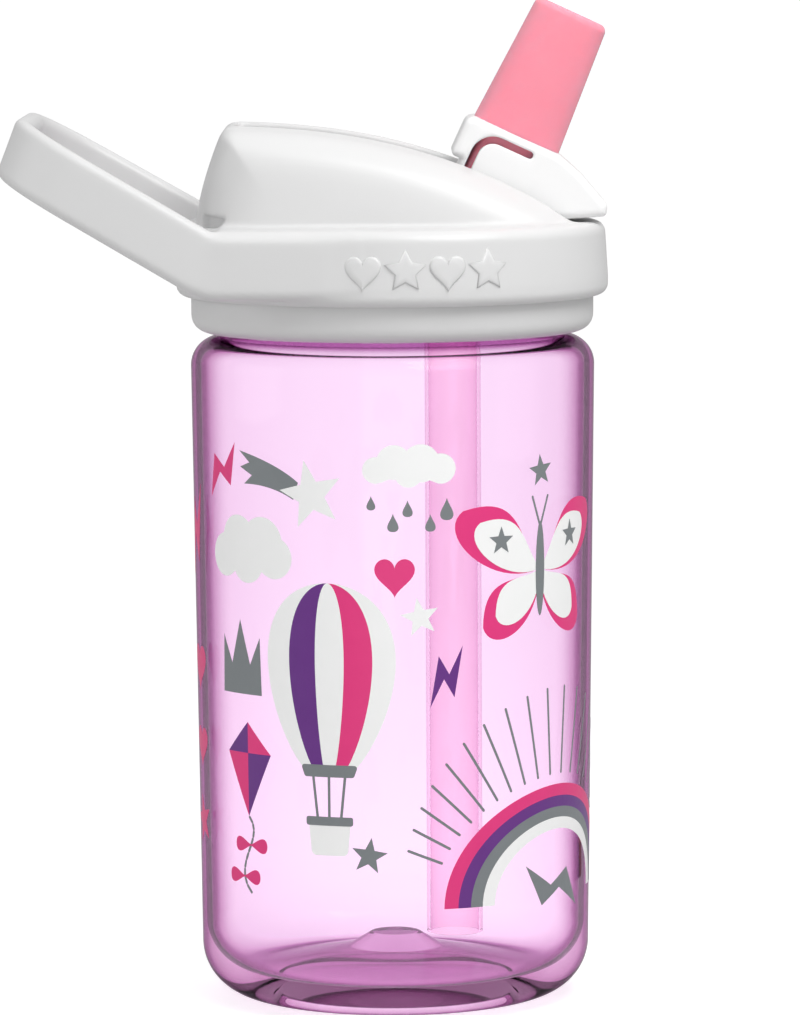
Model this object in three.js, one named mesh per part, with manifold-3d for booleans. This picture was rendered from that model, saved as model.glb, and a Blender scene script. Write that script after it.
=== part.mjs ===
// A kids water bottle: a clear shell, a screw cap with a finger loop, and a flip-up straw spout.
//
// Millimetres, +Z up. The origin is on the bottle's axis, at the plane it stands on. +X is the
// side the child drinks from, and the loop is on -X. The spout is modelled in a frame of its
// own, with its origin on the hinge and +Z along the drinking channel.

import * as THREE from 'three';
import { mergeVertices } from 'three/addons/utils/BufferGeometryUtils.js';
import Module from 'manifold-3d';

const wasm = await Module();
wasm.setup();

// ---------------------------------------------------------------- driving dimensions

const GAP = 0.3; // between two pieces that touch
const REACH = 200; // longer than any cut needs to be
const BURY = 0.5; // how far a joined solid reaches into its neighbour
const TURN = 2 * Math.PI;
const ARC_TOLERANCE = 0.1; // how far an arc's chord may leave the arc
const ROUND = 48; // facets on a full-size circle
const SMALL_ROUND = 24; // facets on a tube

const BOTTLE = {
  footRadius: 35.2, // at the foot, if its corner were sharp
  topRadius: 36.7, // at the shoulder, if its corner were sharp
  shoulder: 120.5, // height
  rim: 129,
  wall: 1.8,
  floor: 3.4, // thickness at the corner of the base
  footCorner: 9.8,
  shoulderCorner: 5.2,
  footRing: 21.8, // inner radius of the flat that it stands on
  footRingSlope: 1.2,
  footHollow: 0.8, // how far the middle of the base stands off the table
  neckRadius: 31.4,
  neckWall: 2.2,
  lipRound: 0.6,
  innerRound: 1.2,
  floorCentre: 8.4, // height of the crowned floor round the raised centre
  bumpFoot: 8.5, // radius of the raised centre
  bumpTop: 4.4,
  bumpHeight: 2.5,
};

const THREAD = { lead: 4, height: 1.3, foot: 2.4, crest: 1.2, bury: 0.7, fade: 1 / 12 };
const BOTTLE_THREAD = { start: 0, turns: 1.25, bottom: 122.2 };
const CAP_THREAD = { start: 5 / 8, turns: 1, crestRadius: 31.9 };

const CAP = {
  radius: 36.5,
  bore: 33.5,
  skirt: 121.4, // height of the lower edge
  deckUnder: 131,
  deckTop: 133,
  cornerRadius: 3,
  deckRound: 0.6,
};

const STRAW = { x: 10.9, radius: 5.1, bore: 4.4, bottom: 10.8, top: 128.4 };
const SOCKET = { wall: 1.9, bottom: 121.5, top: 128.7 };
const PORT = {
  x: 11.9,
  radius: 2.9,
  seatFloor: 130.5,
  wall: 2, // round the seat
  flangeRadius: 6.6,
  lip: 1,
  lipTop: 134.7,
  round: 0.4,
};
const VENT = {
  x: -13,
  hole: 2.2,
  flange: 3.6,
  plate: 1, // thickness of its flange and of its bead
  stem: 1.9,
  bead: 2.8,
  bill: 128.7, // height where the stem starts to narrow
  tip: 125,
  tipRadius: 0.7,
  air: 0.9,
  airFloor: 127.4,
  slit: 0.4,
  round: 0.4,
};

const BAND = {
  radius: 39.3,
  bore: 36.8,
  bottom: 127.9,
  top: 141.3,
  draft: 0.8,
  lowerFillet: 2.2,
  upperFillet: 2,
  flat: 4, // how far in its flat top and underside are drawn
  plate: 2, // thickness of its flat top
  wall: 2.2,
};

const LOOP = {
  leaves: THREE.MathUtils.degToRad(98), // where its sides leave the round band, from +X
  taper: THREE.MathUtils.degToRad(8),
  thickness: 3.6,
  lower: 129.2, // its two edges before it is bent
  upper: 140.5,
  edgeRadius: 1.5,
  bend: -30, // x of the fold line
  bendSteps: 3,
  rise: THREE.MathUtils.degToRad(30),
  bendRadius: 8.5, // at the height that keeps its length
  rear: -74.2, // x of the rear face before it is bent
  rearLean: 0.16, // how much further back its top edge is there, for each mm of height
  cornerRadius: 17,
  root: [-17, 34.8], // where its centreline starts, inside the band
  rootEnd: -23,
  webLift: 0.5, // rise of the web's lower edge for each mm that its section is inset
  webInset: 0.4, // how far the web's sides lie inside the strap's
  webRear: -33,
};

const DOME = {
  foot: 140.5, // height where its outline starts, inside the band's flat top
  rear: -35.9,
  rearPull: [-33.7, 150],
  rearTop: [-31.1, 156.4],
  crownPull: [-30.3, 158.8],
  crown: [-27.4, 158.7],
  slopePulls: [[-9, 158.2], [12, 155.2]],
  front: 33.8,
  halfWidth: 22.5,
  squareness: 3.8,
  planSquareness: 5,
  shell: 2,
  least: 0.5, // half width and height of its end rings
  sectionSteps: 16,
  crownSteps: 30,
};

const HINGE = { x: 15.5, z: 142.5, lean: THREE.MathUtils.degToRad(24.8) };
const SLOT = { halfWidth: 10.2, rear: -28, mouth: 25.5, front: 26.5, cheek: 2, mouthStep: 0.1 };
const PIN = { radius: 2.4, hole: 2.75, reach: 11.9 };
const NOTCH = { from: -36.3, to: -30.4, inner: 8, outer: 22, bottom: 141.1, top: 143 };

// The spout's own frame: x forward, z along the channel, y across.
const SPOUT = {
  halfWidth: 9,
  drum: 9,
  drumFront: THREE.MathUtils.degToRad(20), // where the drum meets the tab
  drumSteps: 20,
  rear: -9.1,
  front: 8.9,
  top: 16,
  relief: -7, // x of the step that clears the seal when folded
  reliefTop: 8,
  tabUnder: [14.6, 5.9],
  tabTip: [21.1, 9.4, 0.7],
  tabNose: [20.5, 11.4, 0.8],
  tabTop: [13.9, 14.5, 6],
  rearRound: 1,
  reliefRound: 0.5,
  edge: 0.6,
};
const POCKET = { halfX: 6, halfY: 7.2, floor: 5, squareness: 5 };
const FLEX_SLIT = { width: 1.3, x: -5.3, bottom: 5.5, top: 14.4, end: 4.6, endRound: 0.62, bend: 4.2 };
const VALVE = {
  x: 0.5, // how far its sleeve sits forward of its root
  halfX: 8.35,
  halfY: 8,
  tipHalfX: 6.9,
  tipHalfY: 6.6,
  length: 24,
  wall: 1.7,
  tipRound: 1,
  bore: 3,
  chamber: 20,
  chamberTaper: 1.5,
  membrane: 1.4,
  dish: 2.4,
  dishTaper: 0.6,
  slitLength: 7,
  slitWidth: 1,
  squareness: 2.8,
  points: 32,
};

// ---------------------------------------------------------------- shape helpers

/** Points through corners [x, y, radius]; a corner that has a radius becomes an arc. */
function outline(corners) {
  return corners.flatMap(([x, y, radius = 0], i) => {
    const corner = new THREE.Vector2(x, y);
    if (radius === 0) return [corner];
    const last = corners.at(i - 1);
    const next = corners[(i + 1) % corners.length];
    const back = new THREE.Vector2(last[0], last[1]).sub(corner).normalize();
    const ahead = new THREE.Vector2(next[0], next[1]).sub(corner).normalize();
    const half = Math.acos(back.dot(ahead)) / 2;
    const inward = back.clone().add(ahead).normalize();
    const centre = corner.clone().addScaledVector(inward, radius / Math.sin(half));
    const start = corner.clone().addScaledVector(back, radius / Math.tan(half));
    const sweep = -Math.sign(back.cross(ahead)) * (Math.PI - 2 * half);
    const steps = Math.ceil(Math.abs(sweep) / (2 * Math.acos(1 - ARC_TOLERANCE / radius)));
    return Array.from({ length: steps + 1 }, (_, step) =>
      start.clone().rotateAround(centre, (sweep * step) / steps));
  });
}

/** Six times the signed volume of a triangle list, which is negative if it is inside out. */
function signedVolume(positions, faces) {
  const corner = (i) => new THREE.Vector3().fromArray(positions, 3 * faces[i]);
  let total = 0;
  for (let i = 0; i < faces.length; i += 3) {
    total += corner(i).dot(corner(i + 1).cross(corner(i + 2)));
  }
  return total;
}

/** The solid of a closed geometry, with its faces pointing out. */
function solid(geometry) {
  const bare = geometry.clone();
  bare.deleteAttribute('normal');
  bare.deleteAttribute('uv');
  const merged = mergeVertices(bare);
  const positions = new Float32Array(merged.getAttribute('position').array);
  const corners = Array.from(merged.getIndex().array);
  const faces = [];
  for (let i = 0; i < corners.length; i += 3) {
    const face = corners.slice(i, i + 3);
    if (new Set(face).size === 3) faces.push(...face);
  }
  if (signedVolume(positions, faces) < 0) faces.reverse();
  const triVerts = new Uint32Array(faces);
  return new wasm.Manifold(new wasm.Mesh({ numProp: 3, vertProperties: positions, triVerts }));
}

/** A body turned about +Z from a section in (radius, z), closed on the axis or on itself. */
function turned(corners, { x = 0, facets = ROUND } = {}) {
  const points = outline(corners);
  if (points[0].x > 0) points.push(points[0].clone());
  const geometry = new THREE.LatheGeometry(points, facets);
  return solid(geometry.rotateX(Math.PI / 2).translate(x, 0, 0));
}

/** An upright round bar. */
function bar(radius, bottom, top, options) {
  return turned([[0, bottom], [radius, bottom], [radius, top], [0, top]], options);
}

/** A box from its lowest to its highest corner. */
function block([x0, y0, z0], [x1, y1, z1]) {
  const geometry = new THREE.BoxGeometry(x1 - x0, y1 - y0, z1 - z0);
  return solid(geometry.translate((x0 + x1) / 2, (y0 + y1) / 2, (z0 + z1) / 2));
}

/** A side view in (x, z), made halfWidth deep on each side of the middle plane. */
function sideways(points, halfWidth, edge = 0) {
  const geometry = new THREE.ExtrudeGeometry(new THREE.Shape(points), {
    depth: 2 * (halfWidth - edge),
    bevelEnabled: edge > 0,
    bevelSize: edge,
    bevelThickness: edge,
    bevelOffset: -edge,
    bevelSegments: 2,
  });
  return solid(geometry.translate(0, 0, edge - halfWidth).rotateX(Math.PI / 2));
}

/** A round bar across the object, along Y, at (x, z). */
function crossBar(radius, halfLength, x, z, facets = SMALL_ROUND) {
  const geometry = new THREE.CylinderGeometry(radius, radius, 2 * halfLength, facets);
  return solid(geometry.translate(x, 0, z));
}

/** A closed body through rings of points, which all have the same count, with flat ends. */
function loft(rings) {
  const count = rings[0].length;
  const last = (rings.length - 1) * count;
  const faces = [];
  for (let ring = 0; ring < last; ring += count) {
    for (let i = 0; i < count; i += 1) {
      const next = (i + 1) % count;
      faces.push(ring + i, ring + next, ring + next + count);
      faces.push(ring + i, ring + next + count, ring + i + count);
    }
  }
  for (let i = 1; i + 1 < count; i += 1) {
    faces.push(0, i + 1, i, last, last + i, last + i + 1);
  }
  const geometry = new THREE.BufferGeometry().setFromPoints(rings.flat());
  return solid(geometry.setIndex(faces));
}

/** One coordinate of a superellipse: squareness 2 is an ellipse, and more is squarer. */
function squarish(unit, squareness) {
  return Math.sign(unit) * Math.abs(unit) ** (2 / squareness);
}

/** A level superellipse ring about (middleX, 0). */
function levelRing(halfX, halfY, z, squareness, middleX = 0) {
  return Array.from({ length: VALVE.points }, (_, i) => {
    const angle = (TURN * i) / VALVE.points;
    const x = middleX + halfX * squarish(Math.cos(angle), squareness);
    const y = halfY * squarish(Math.sin(angle), squareness);
    return new THREE.Vector3(x, y, z);
  });
}

/** A screw thread's ridge from its root radius to its crest, which fades out at both ends. */
function threadRidge({ root, crest, bottom, start, turns }) {
  const steps = Math.round(turns * ROUND);
  const buried = root - Math.sign(crest - root) * THREAD.bury;
  return loft(Array.from({ length: steps + 1 }, (_, step) => {
    const travelled = (turns * step) / steps;
    const height = Math.min(1, travelled / THREAD.fade, (turns - travelled) / THREAD.fade);
    const tip = root + (crest - root) * height;
    const angle = TURN * (start + travelled);
    const z = bottom + THREAD.lead * (start + travelled);
    const lower = [[buried, -THREAD.foot], [tip, -THREAD.crest]];
    const section = [...lower, [tip, THREAD.crest], [buried, THREAD.foot]];
    return section.map(([radius, width]) =>
      new THREE.Vector3(radius * Math.cos(angle), radius * Math.sin(angle), z + width / 2));
  }));
}

/** A solid as a named mesh. */
function part(name, body, material) {
  const { vertProperties, triVerts } = body.getMesh();
  const geometry = new THREE.BufferGeometry();
  geometry.setAttribute('position', new THREE.BufferAttribute(vertProperties, 3));
  geometry.setIndex(new THREE.BufferAttribute(triVerts, 1));
  geometry.computeVertexNormals();
  const mesh = new THREE.Mesh(geometry, material);
  mesh.name = name;
  return mesh;
}

// ---------------------------------------------------------------- materials

const clearPink = new THREE.MeshStandardMaterial({
  color: 0xe8b4e0, roughness: 0.06, metalness: 0, transparent: true, opacity: 0.35,
});
const whitePlastic = new THREE.MeshStandardMaterial({ color: 0xecebec, roughness: 0.35, metalness: 0 });
const pinkSilicone = new THREE.MeshStandardMaterial({ color: 0xff8fa3, roughness: 0.5, metalness: 0 });
const sealSilicone = new THREE.MeshStandardMaterial({ color: 0xc4405e, roughness: 0.55, metalness: 0 });
const clearSilicone = new THREE.MeshStandardMaterial({ color: 0xe6e6e8, roughness: 0.5, metalness: 0 });
const tintedStraw = new THREE.MeshStandardMaterial({
  color: 0xeeb4e4, roughness: 0.2, metalness: 0, transparent: true, opacity: 0.6,
});

// ---------------------------------------------------------------- the bottle

/** The clear shell: rounded foot, straight side, shoulder, and a neck with an open mouth. */
function bottleBody() {
  const { footRadius, topRadius, wall, floor, shoulder, rim, neckRadius } = BOTTLE;
  const mouth = neckRadius - BOTTLE.neckWall;
  const shell = turned([
    [0, BOTTLE.footHollow],
    [BOTTLE.footRing - BOTTLE.footRingSlope, BOTTLE.footHollow],
    [BOTTLE.footRing, 0],
    [footRadius, 0, BOTTLE.footCorner],
    [topRadius, shoulder, BOTTLE.shoulderCorner],
    [neckRadius, shoulder],
    [neckRadius, rim, BOTTLE.lipRound],
    [mouth, rim, BOTTLE.lipRound],
    [mouth, shoulder - wall, BOTTLE.innerRound],
    [topRadius - wall, shoulder - wall, BOTTLE.shoulderCorner - wall],
    [footRadius - wall, floor, BOTTLE.footCorner - wall],
    [BOTTLE.bumpFoot, BOTTLE.floorCentre, BOTTLE.innerRound],
    [BOTTLE.bumpTop, BOTTLE.floorCentre + BOTTLE.bumpHeight, BOTTLE.lipRound],
    [0, BOTTLE.floorCentre + BOTTLE.bumpHeight],
  ]);
  const ridge = threadRidge({ root: neckRadius, crest: neckRadius + THREAD.height, ...BOTTLE_THREAD });
  return shell.add(ridge);
}

/** The ring that the cap squeezes onto the bottle's rim. */
function capGasket() {
  const inner = BOTTLE.neckRadius - BOTTLE.neckWall + GAP;
  const outer = CAP.bore - GAP;
  const bottom = BOTTLE.rim + GAP;
  const top = CAP.deckUnder - GAP;
  return turned([[inner, bottom], [outer, bottom], [outer, top], [inner, top]]);
}

// ---------------------------------------------------------------- the screw cap

/** The cap's working half: threaded skirt, deck, seal seat, straw socket and vent hole. */
function threadedCap() {
  const cup = turned([
    [0, CAP.deckUnder],
    [CAP.bore, CAP.deckUnder, CAP.deckRound],
    [CAP.bore, CAP.skirt],
    [CAP.radius, CAP.skirt, CAP.cornerRadius],
    [CAP.radius, CAP.deckTop, CAP.deckRound],
    [0, CAP.deckTop],
  ]);
  const ridge = threadRidge({
    ...CAP_THREAD,
    root: CAP.bore,
    crest: CAP_THREAD.crestRadius,
    bottom: BOTTLE_THREAD.bottom - THREAD.lead / 2,
  });
  const bossTop = CAP.deckUnder + BURY;
  const strawHole = STRAW.radius + GAP;
  const onStraw = { x: STRAW.x, facets: SMALL_ROUND };
  const seatBoss = bar(PORT.flangeRadius + PORT.wall, SOCKET.top, bossTop, { x: PORT.x });
  const socketBoss = bar(strawHole + SOCKET.wall, SOCKET.bottom, bossTop, onStraw);
  const seat = bar(PORT.flangeRadius + GAP, PORT.seatFloor, REACH, { x: PORT.x });
  const port = bar(PORT.radius, SOCKET.bottom, REACH, { x: PORT.x, facets: SMALL_ROUND });
  const socket = bar(strawHole, 0, SOCKET.top, onStraw);
  const vent = bar(VENT.hole, 0, REACH, { x: VENT.x, facets: SMALL_ROUND });
  return cup.add(ridge).add(seatBoss).add(socketBoss)
    .subtract(seat).subtract(port).subtract(socket).subtract(vent);
}

/** The lip that the spout's drum wipes, on a flange that sits in the deck. */
function spoutSeal() {
  const lipRadius = PORT.radius + PORT.lip;
  const flangeTop = CAP.deckTop - GAP;
  const blank = turned([
    [PORT.radius, PORT.seatFloor + GAP],
    [PORT.flangeRadius, PORT.seatFloor + GAP, PORT.round],
    [PORT.flangeRadius, flangeTop, PORT.round],
    [lipRadius, flangeTop],
    [lipRadius, PORT.lipTop],
    [PORT.radius, PORT.lipTop],
  ], { x: PORT.x, facets: SMALL_ROUND });
  return blank.subtract(crossBar(SPOUT.drum + GAP, REACH, HINGE.x, HINGE.z, ROUND));
}

/** A duckbill valve: a flange on the deck, a bead under it, and a slit tip that lets air in. */
function ventValve() {
  const above = CAP.deckTop + GAP;
  const below = CAP.deckUnder - GAP;
  const blank = turned([
    [0, VENT.tip],
    [VENT.tipRadius, VENT.tip],
    [VENT.stem, VENT.bill],
    [VENT.bead, below - VENT.plate, VENT.round],
    [VENT.bead, below],
    [VENT.stem, below],
    [VENT.stem, above],
    [VENT.flange, above],
    [VENT.flange, above + VENT.plate, VENT.round],
    [0, above + VENT.plate],
  ], { x: VENT.x, facets: SMALL_ROUND });
  const air = bar(VENT.air, VENT.airFloor, REACH, { x: VENT.x, facets: SMALL_ROUND });
  const slit = block(
    [VENT.x - VENT.slit / 2, -VENT.air / 2, 0],
    [VENT.x + VENT.slit / 2, VENT.air / 2, VENT.airFloor + BURY],
  );
  return blank.subtract(air).subtract(slit);
}

function straw() {
  const { radius, bore, bottom, top } = STRAW;
  return turned([[bore, bottom], [radius, bottom], [radius, top], [bore, top]], {
    x: STRAW.x, facets: SMALL_ROUND,
  });
}

// ---------------------------------------------------------------- the shroud with its loop

/** The band's edge in (inset, z), from the inside of its underside to the inside of its top. */
function bandEdge() {
  return outline([
    [-BAND.flat, BAND.bottom],
    [0, BAND.bottom, BAND.lowerFillet],
    [-BAND.draft, BAND.top, BAND.upperFillet],
    [-BAND.flat, BAND.top],
  ]).map(({ x, y }) => ({ inset: -x, z: y }));
}

/** Half the width over the loop's outer faces at x, where it is still flat. */
function loopHalfWidth(x) {
  const from = BAND.radius * Math.cos(LOOP.leaves);
  return BAND.radius * Math.sin(LOOP.leaves) - (from - x) * Math.tan(LOOP.taper);
}

/** The four-sided body behind the round band that carries the loop's two sides. */
function web(edge) {
  const front = BAND.radius * Math.cos(LOOP.leaves);
  return loft(edge.map(({ inset, z }) => {
    const rear = LOOP.webRear + inset;
    const height = Math.max(z, LOOP.lower + inset * LOOP.webLift);
    const corners = [[front, -1], [front, 1], [rear, 1], [rear, -1]];
    return corners.map(([x, side]) =>
      new THREE.Vector3(x, side * (loopHalfWidth(x) - LOOP.webInset - inset), height));
  }));
}

/** Where a point of the flat band goes when the part behind the fold line is bent up. */
function bendUp(point) {
  const past = LOOP.bend - point.x;
  if (past <= 0) return point;
  const middleZ = (BAND.bottom + BAND.top) / 2;
  const centreZ = middleZ + LOOP.bendRadius;
  const arm = centreZ - point.z;
  const angle = Math.min(past / LOOP.bendRadius, LOOP.rise);
  const lean = LOOP.rearLean * (past / (LOOP.bend - LOOP.rear)) ** 2 * (point.z - middleZ);
  const straight = past - angle * LOOP.bendRadius + lean;
  return new THREE.Vector3(
    LOOP.bend - arm * Math.sin(angle) - straight * Math.cos(angle),
    point.y,
    centreZ - arm * Math.cos(angle) + straight * Math.sin(angle),
  );
}

/** The finger loop: one strap from side to side round the back. */
function fingerLoop() {
  const half = LOOP.thickness / 2;
  const bendLength = LOOP.bendRadius * LOOP.rise;
  const stations = Array.from({ length: LOOP.bendSteps + 1 }, (_, i) =>
    LOOP.bend - (bendLength * i) / LOOP.bendSteps);
  const side = [
    LOOP.root,
    ...[LOOP.rootEnd, ...stations].map((x) => [x, loopHalfWidth(x) - half]),
  ];
  const rearX = LOOP.rear + half;
  const rearY = loopHalfWidth(rearX) - half;
  const centreline = outline([
    ...side,
    [rearX, rearY, LOOP.cornerRadius],
    [rearX, -rearY, LOOP.cornerRadius],
    ...side.map(([x, y]) => [x, -y]).reverse(),
  ]);
  const section = outline([
    [half, LOOP.lower, LOOP.edgeRadius],
    [half, LOOP.upper, LOOP.edgeRadius],
    [-half, LOOP.upper, LOOP.edgeRadius],
    [-half, LOOP.lower, LOOP.edgeRadius],
  ]);
  return loft(centreline.map((point, i) => {
    const before = centreline[Math.max(i - 1, 0)];
    const after = centreline[Math.min(i + 1, centreline.length - 1)];
    const along = after.clone().sub(before).normalize();
    return section.map(({ x: across, y: z }) =>
      bendUp(new THREE.Vector3(point.x + along.y * across, point.y - along.x * across, z)));
  }));
}

/** The dome's top edge as seen from the side, from its rear foot to its front foot. */
function crownLine() {
  const line = new THREE.Path();
  line.moveTo(DOME.rear, DOME.foot);
  line.quadraticCurveTo(...DOME.rearPull, ...DOME.rearTop);
  line.quadraticCurveTo(...DOME.crownPull, ...DOME.crown);
  line.bezierCurveTo(...DOME.slopePulls.flat(), DOME.front, DOME.foot);
  return line.getSpacedPoints(DOME.crownSteps);
}

/** The dome through rings along the crown line, with its sides carried down to a floor. */
function domeThrough(crown, inset, floor) {
  const middle = (DOME.front + DOME.rear) / 2;
  const reach = (DOME.front - DOME.rear) / 2;
  return loft(crown.map(({ x: station, y: top }) => {
    const along = (station - middle) / reach;
    const plan = (1 - Math.abs(along) ** DOME.planSquareness) ** (1 / DOME.planSquareness);
    const halfWidth = Math.max(DOME.halfWidth * plan - inset, DOME.least);
    const height = Math.max(top - inset - DOME.foot, DOME.least);
    const x = middle + along * (reach - inset);
    const arch = Array.from({ length: DOME.sectionSteps + 1 }, (_, i) => {
      const angle = (Math.PI * i) / DOME.sectionSteps;
      const across = halfWidth * squarish(Math.cos(angle), DOME.squareness);
      const up = height * squarish(Math.sin(angle), DOME.squareness);
      return new THREE.Vector3(x, across, DOME.foot + up);
    });
    const feet = [-halfWidth, halfWidth].map((across) => new THREE.Vector3(x, across, floor));
    return [...arch, ...feet];
  }));
}

/** The dome as a solid down to a floor. */
function domeBody(floor) {
  return domeThrough(crownLine(), 0, floor);
}

/** The hollow inside the dome, which stops short of its thin front end. */
function domeHollow(floor) {
  const deep = crownLine().filter(({ x, y }) => x < SLOT.front && y - DOME.shell > DOME.foot);
  return domeThrough(deep, DOME.shell, floor);
}

/** The walls round the slot that the spout folds into. */
function slotLiner() {
  const outer = SLOT.halfWidth + SLOT.cheek;
  const box = block(
    [SLOT.rear - SLOT.cheek, -outer, CAP.deckTop + GAP],
    [SLOT.front + SLOT.cheek, outer, REACH],
  );
  return box.intersect(domeBody(CAP.deckTop));
}

/** The space the spout folds into, which opens to the front above the band. */
function slotSpace() {
  const { halfWidth, rear, front, mouthStep } = SLOT;
  const well = block([rear, -halfWidth, CAP.skirt], [front, halfWidth, REACH]);
  const mouth = block([SLOT.mouth, -halfWidth, BAND.top + mouthStep], [REACH, halfWidth, REACH]);
  return well.add(mouth);
}

/** Air and drain notches at the foot of the dome's two rear corners. */
function drainNotches() {
  const { from, to, inner, outer, bottom, top } = NOTCH;
  const near = block([from, -outer, bottom], [to, -inner, top]);
  const far = block([from, inner, bottom], [to, outer, top]);
  return near.add(far);
}

/** The outer half of the cap: band, dome with its slot, and finger loop, all one moulding. */
function capShroud() {
  const edge = bandEdge();
  const disc = turned([
    [0, BAND.bottom],
    ...edge.map(({ inset, z }) => [BAND.radius - inset, z]),
    [0, BAND.top],
  ]);
  const plateUnder = BAND.top - BAND.plate;
  const barrelSpace = bar(BAND.bore, CAP.skirt, plateUnder);
  const pocketEdge = [CAP.skirt, plateUnder].map((z) => ({ inset: BAND.wall, z }));
  const pockets = web(pocketEdge).subtract(bar(BAND.radius, 0, REACH));
  const shell = disc.add(web(edge)).subtract(barrelSpace).subtract(pockets);
  const pinHoles = crossBar(PIN.hole, SLOT.halfWidth + SLOT.cheek + BURY, HINGE.x, HINGE.z);
  return shell
    .add(domeBody(plateUnder + BURY))
    .subtract(domeHollow(plateUnder - BURY))
    .subtract(drainNotches())
    .add(slotLiner())
    .subtract(slotSpace())
    .subtract(pinHoles)
    .add(fingerLoop());
}

// ---------------------------------------------------------------- the spout

/** The spout's side view: drum, collar and forward thumb tab. */
function spoutSide() {
  const { drum, drumFront, drumSteps, relief, reliefTop, rear, front, top } = SPOUT;
  const drumRear = Math.PI - Math.acos(-relief / drum);
  const sweep = TURN + drumFront - drumRear;
  const arc = Array.from({ length: drumSteps + 1 }, (_, i) => {
    const angle = drumRear + (sweep * i) / drumSteps;
    return [drum * Math.cos(angle), drum * Math.sin(angle)];
  });
  return outline([
    ...arc,
    SPOUT.tabUnder,
    SPOUT.tabTip,
    SPOUT.tabNose,
    SPOUT.tabTop,
    [front, top, SPOUT.edge],
    [rear, top, SPOUT.rearRound],
    [rear, reliefTop, SPOUT.reliefRound],
    [relief, reliefTop],
  ]);
}

/** The white flip spout with its drum, its flexing cheeks and the pins moulded on them. */
function spoutShell() {
  const { halfX, halfY, floor, squareness } = POCKET;
  const body = sideways(spoutSide(), SPOUT.halfWidth, SPOUT.edge);
  const pocket = loft([
    levelRing(halfX, halfY, floor, squareness),
    levelRing(halfX, halfY, REACH, squareness),
  ]);
  const channel = bar(PORT.radius, -REACH, REACH, { facets: SMALL_ROUND });
  const { width, x, bottom, top, end, endRound, bend } = FLEX_SLIT;
  const slit = sideways(outline([
    [x - width / 2, bottom],
    [x - width / 2, top, bend],
    [end, top, endRound],
    [end, top - width, endRound],
    [x + width / 2, top - width, bend - width],
    [x + width / 2, bottom],
  ]), REACH);
  const pins = crossBar(PIN.radius, PIN.reach, 0, 0);
  const between = crossBar(PIN.radius + BURY, SPOUT.halfWidth - BURY, 0, 0);
  return body.add(pins.subtract(between)).subtract(pocket).subtract(channel).subtract(slit);
}

/** The soft mouthpiece: a root in the spout, a tapered sleeve, and a slit membrane in its tip. */
function biteValve() {
  const { halfX, halfY, tipHalfX, tipHalfY, wall, tipRound } = VALVE;
  const sleeveRing = (x, y, z) => levelRing(x, y, z, VALVE.squareness, VALVE.x);
  const seat = SPOUT.top + GAP;
  const tip = seat + VALVE.length;
  const halfRound = tipRound * (1 - Math.SQRT1_2);
  const rootX = POCKET.halfX - GAP;
  const rootY = POCKET.halfY - GAP;
  const outer = loft([
    levelRing(rootX, rootY, POCKET.floor + GAP, POCKET.squareness),
    levelRing(rootX, rootY, seat, POCKET.squareness),
    sleeveRing(halfX, halfY, seat),
    sleeveRing(tipHalfX, tipHalfY, tip - tipRound),
    sleeveRing(tipHalfX - halfRound, tipHalfY - halfRound, tip - halfRound),
    sleeveRing(tipHalfX - tipRound, tipHalfY - tipRound, tip),
  ]);
  const dishFloor = tip - VALVE.dish;
  const chamberTop = dishFloor - VALVE.membrane;
  const bore = bar(VALVE.bore, 0, VALVE.chamber + BURY, { facets: SMALL_ROUND });
  const chamber = loft([
    sleeveRing(VALVE.bore, VALVE.bore, VALVE.chamber - VALVE.chamberTaper),
    sleeveRing(halfX - wall, halfY - wall, VALVE.chamber),
    sleeveRing(tipHalfX - wall, tipHalfY - wall, chamberTop),
  ]);
  const dish = loft([
    sleeveRing(tipHalfX - wall - VALVE.dishTaper, tipHalfY - wall - VALVE.dishTaper, dishFloor),
    sleeveRing(tipHalfX - wall, tipHalfY - wall, tip + BURY),
  ]);
  const slit = block(
    [VALVE.x - VALVE.slitWidth / 2, -VALVE.slitLength / 2, chamberTop - BURY],
    [VALVE.x + VALVE.slitWidth / 2, VALVE.slitLength / 2, tip],
  );
  return outer.subtract(bore).subtract(chamber).subtract(dish).subtract(slit);
}

// ---------------------------------------------------------------- assembly

const spout = new THREE.Group();
spout.position.set(HINGE.x, 0, HINGE.z);
spout.rotation.y = HINGE.lean;
spout.add(part('spout_shell', spoutShell(), whitePlastic));
spout.add(part('bite_valve', biteValve(), pinkSilicone));

const cap = new THREE.Group();
cap.add(part('threaded_cap', threadedCap(), whitePlastic));
cap.add(part('cap_shroud', capShroud(), whitePlastic));
cap.add(part('cap_gasket', capGasket(), clearSilicone));
cap.add(part('spout_seal', spoutSeal(), sealSilicone));
cap.add(part('vent_valve', ventValve(), clearSilicone));
cap.add(part('straw', straw(), tintedStraw));
cap.add(spout);

const bottle = new THREE.Group();
bottle.add(part('bottle_body', bottleBody(), clearPink));
bottle.add(cap);

export default bottle;
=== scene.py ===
"""The looks of a kids water bottle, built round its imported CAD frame.

Shapes are modelled in millimetres. A moulded piece is a signed distance field (negative inside)
on a grid, which surface() turns into a mesh. A round piece is a lathe. The spout's two pieces are
modelled upright, in a frame of their own on the hinge, and leant forward by spout_place().
"""

from math import acos, atan2, ceil, cos, degrees, hypot, pi, radians, sin, sqrt, tan

import bmesh
import bpy
import numpy as np
from mathutils import Matrix, Vector


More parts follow.
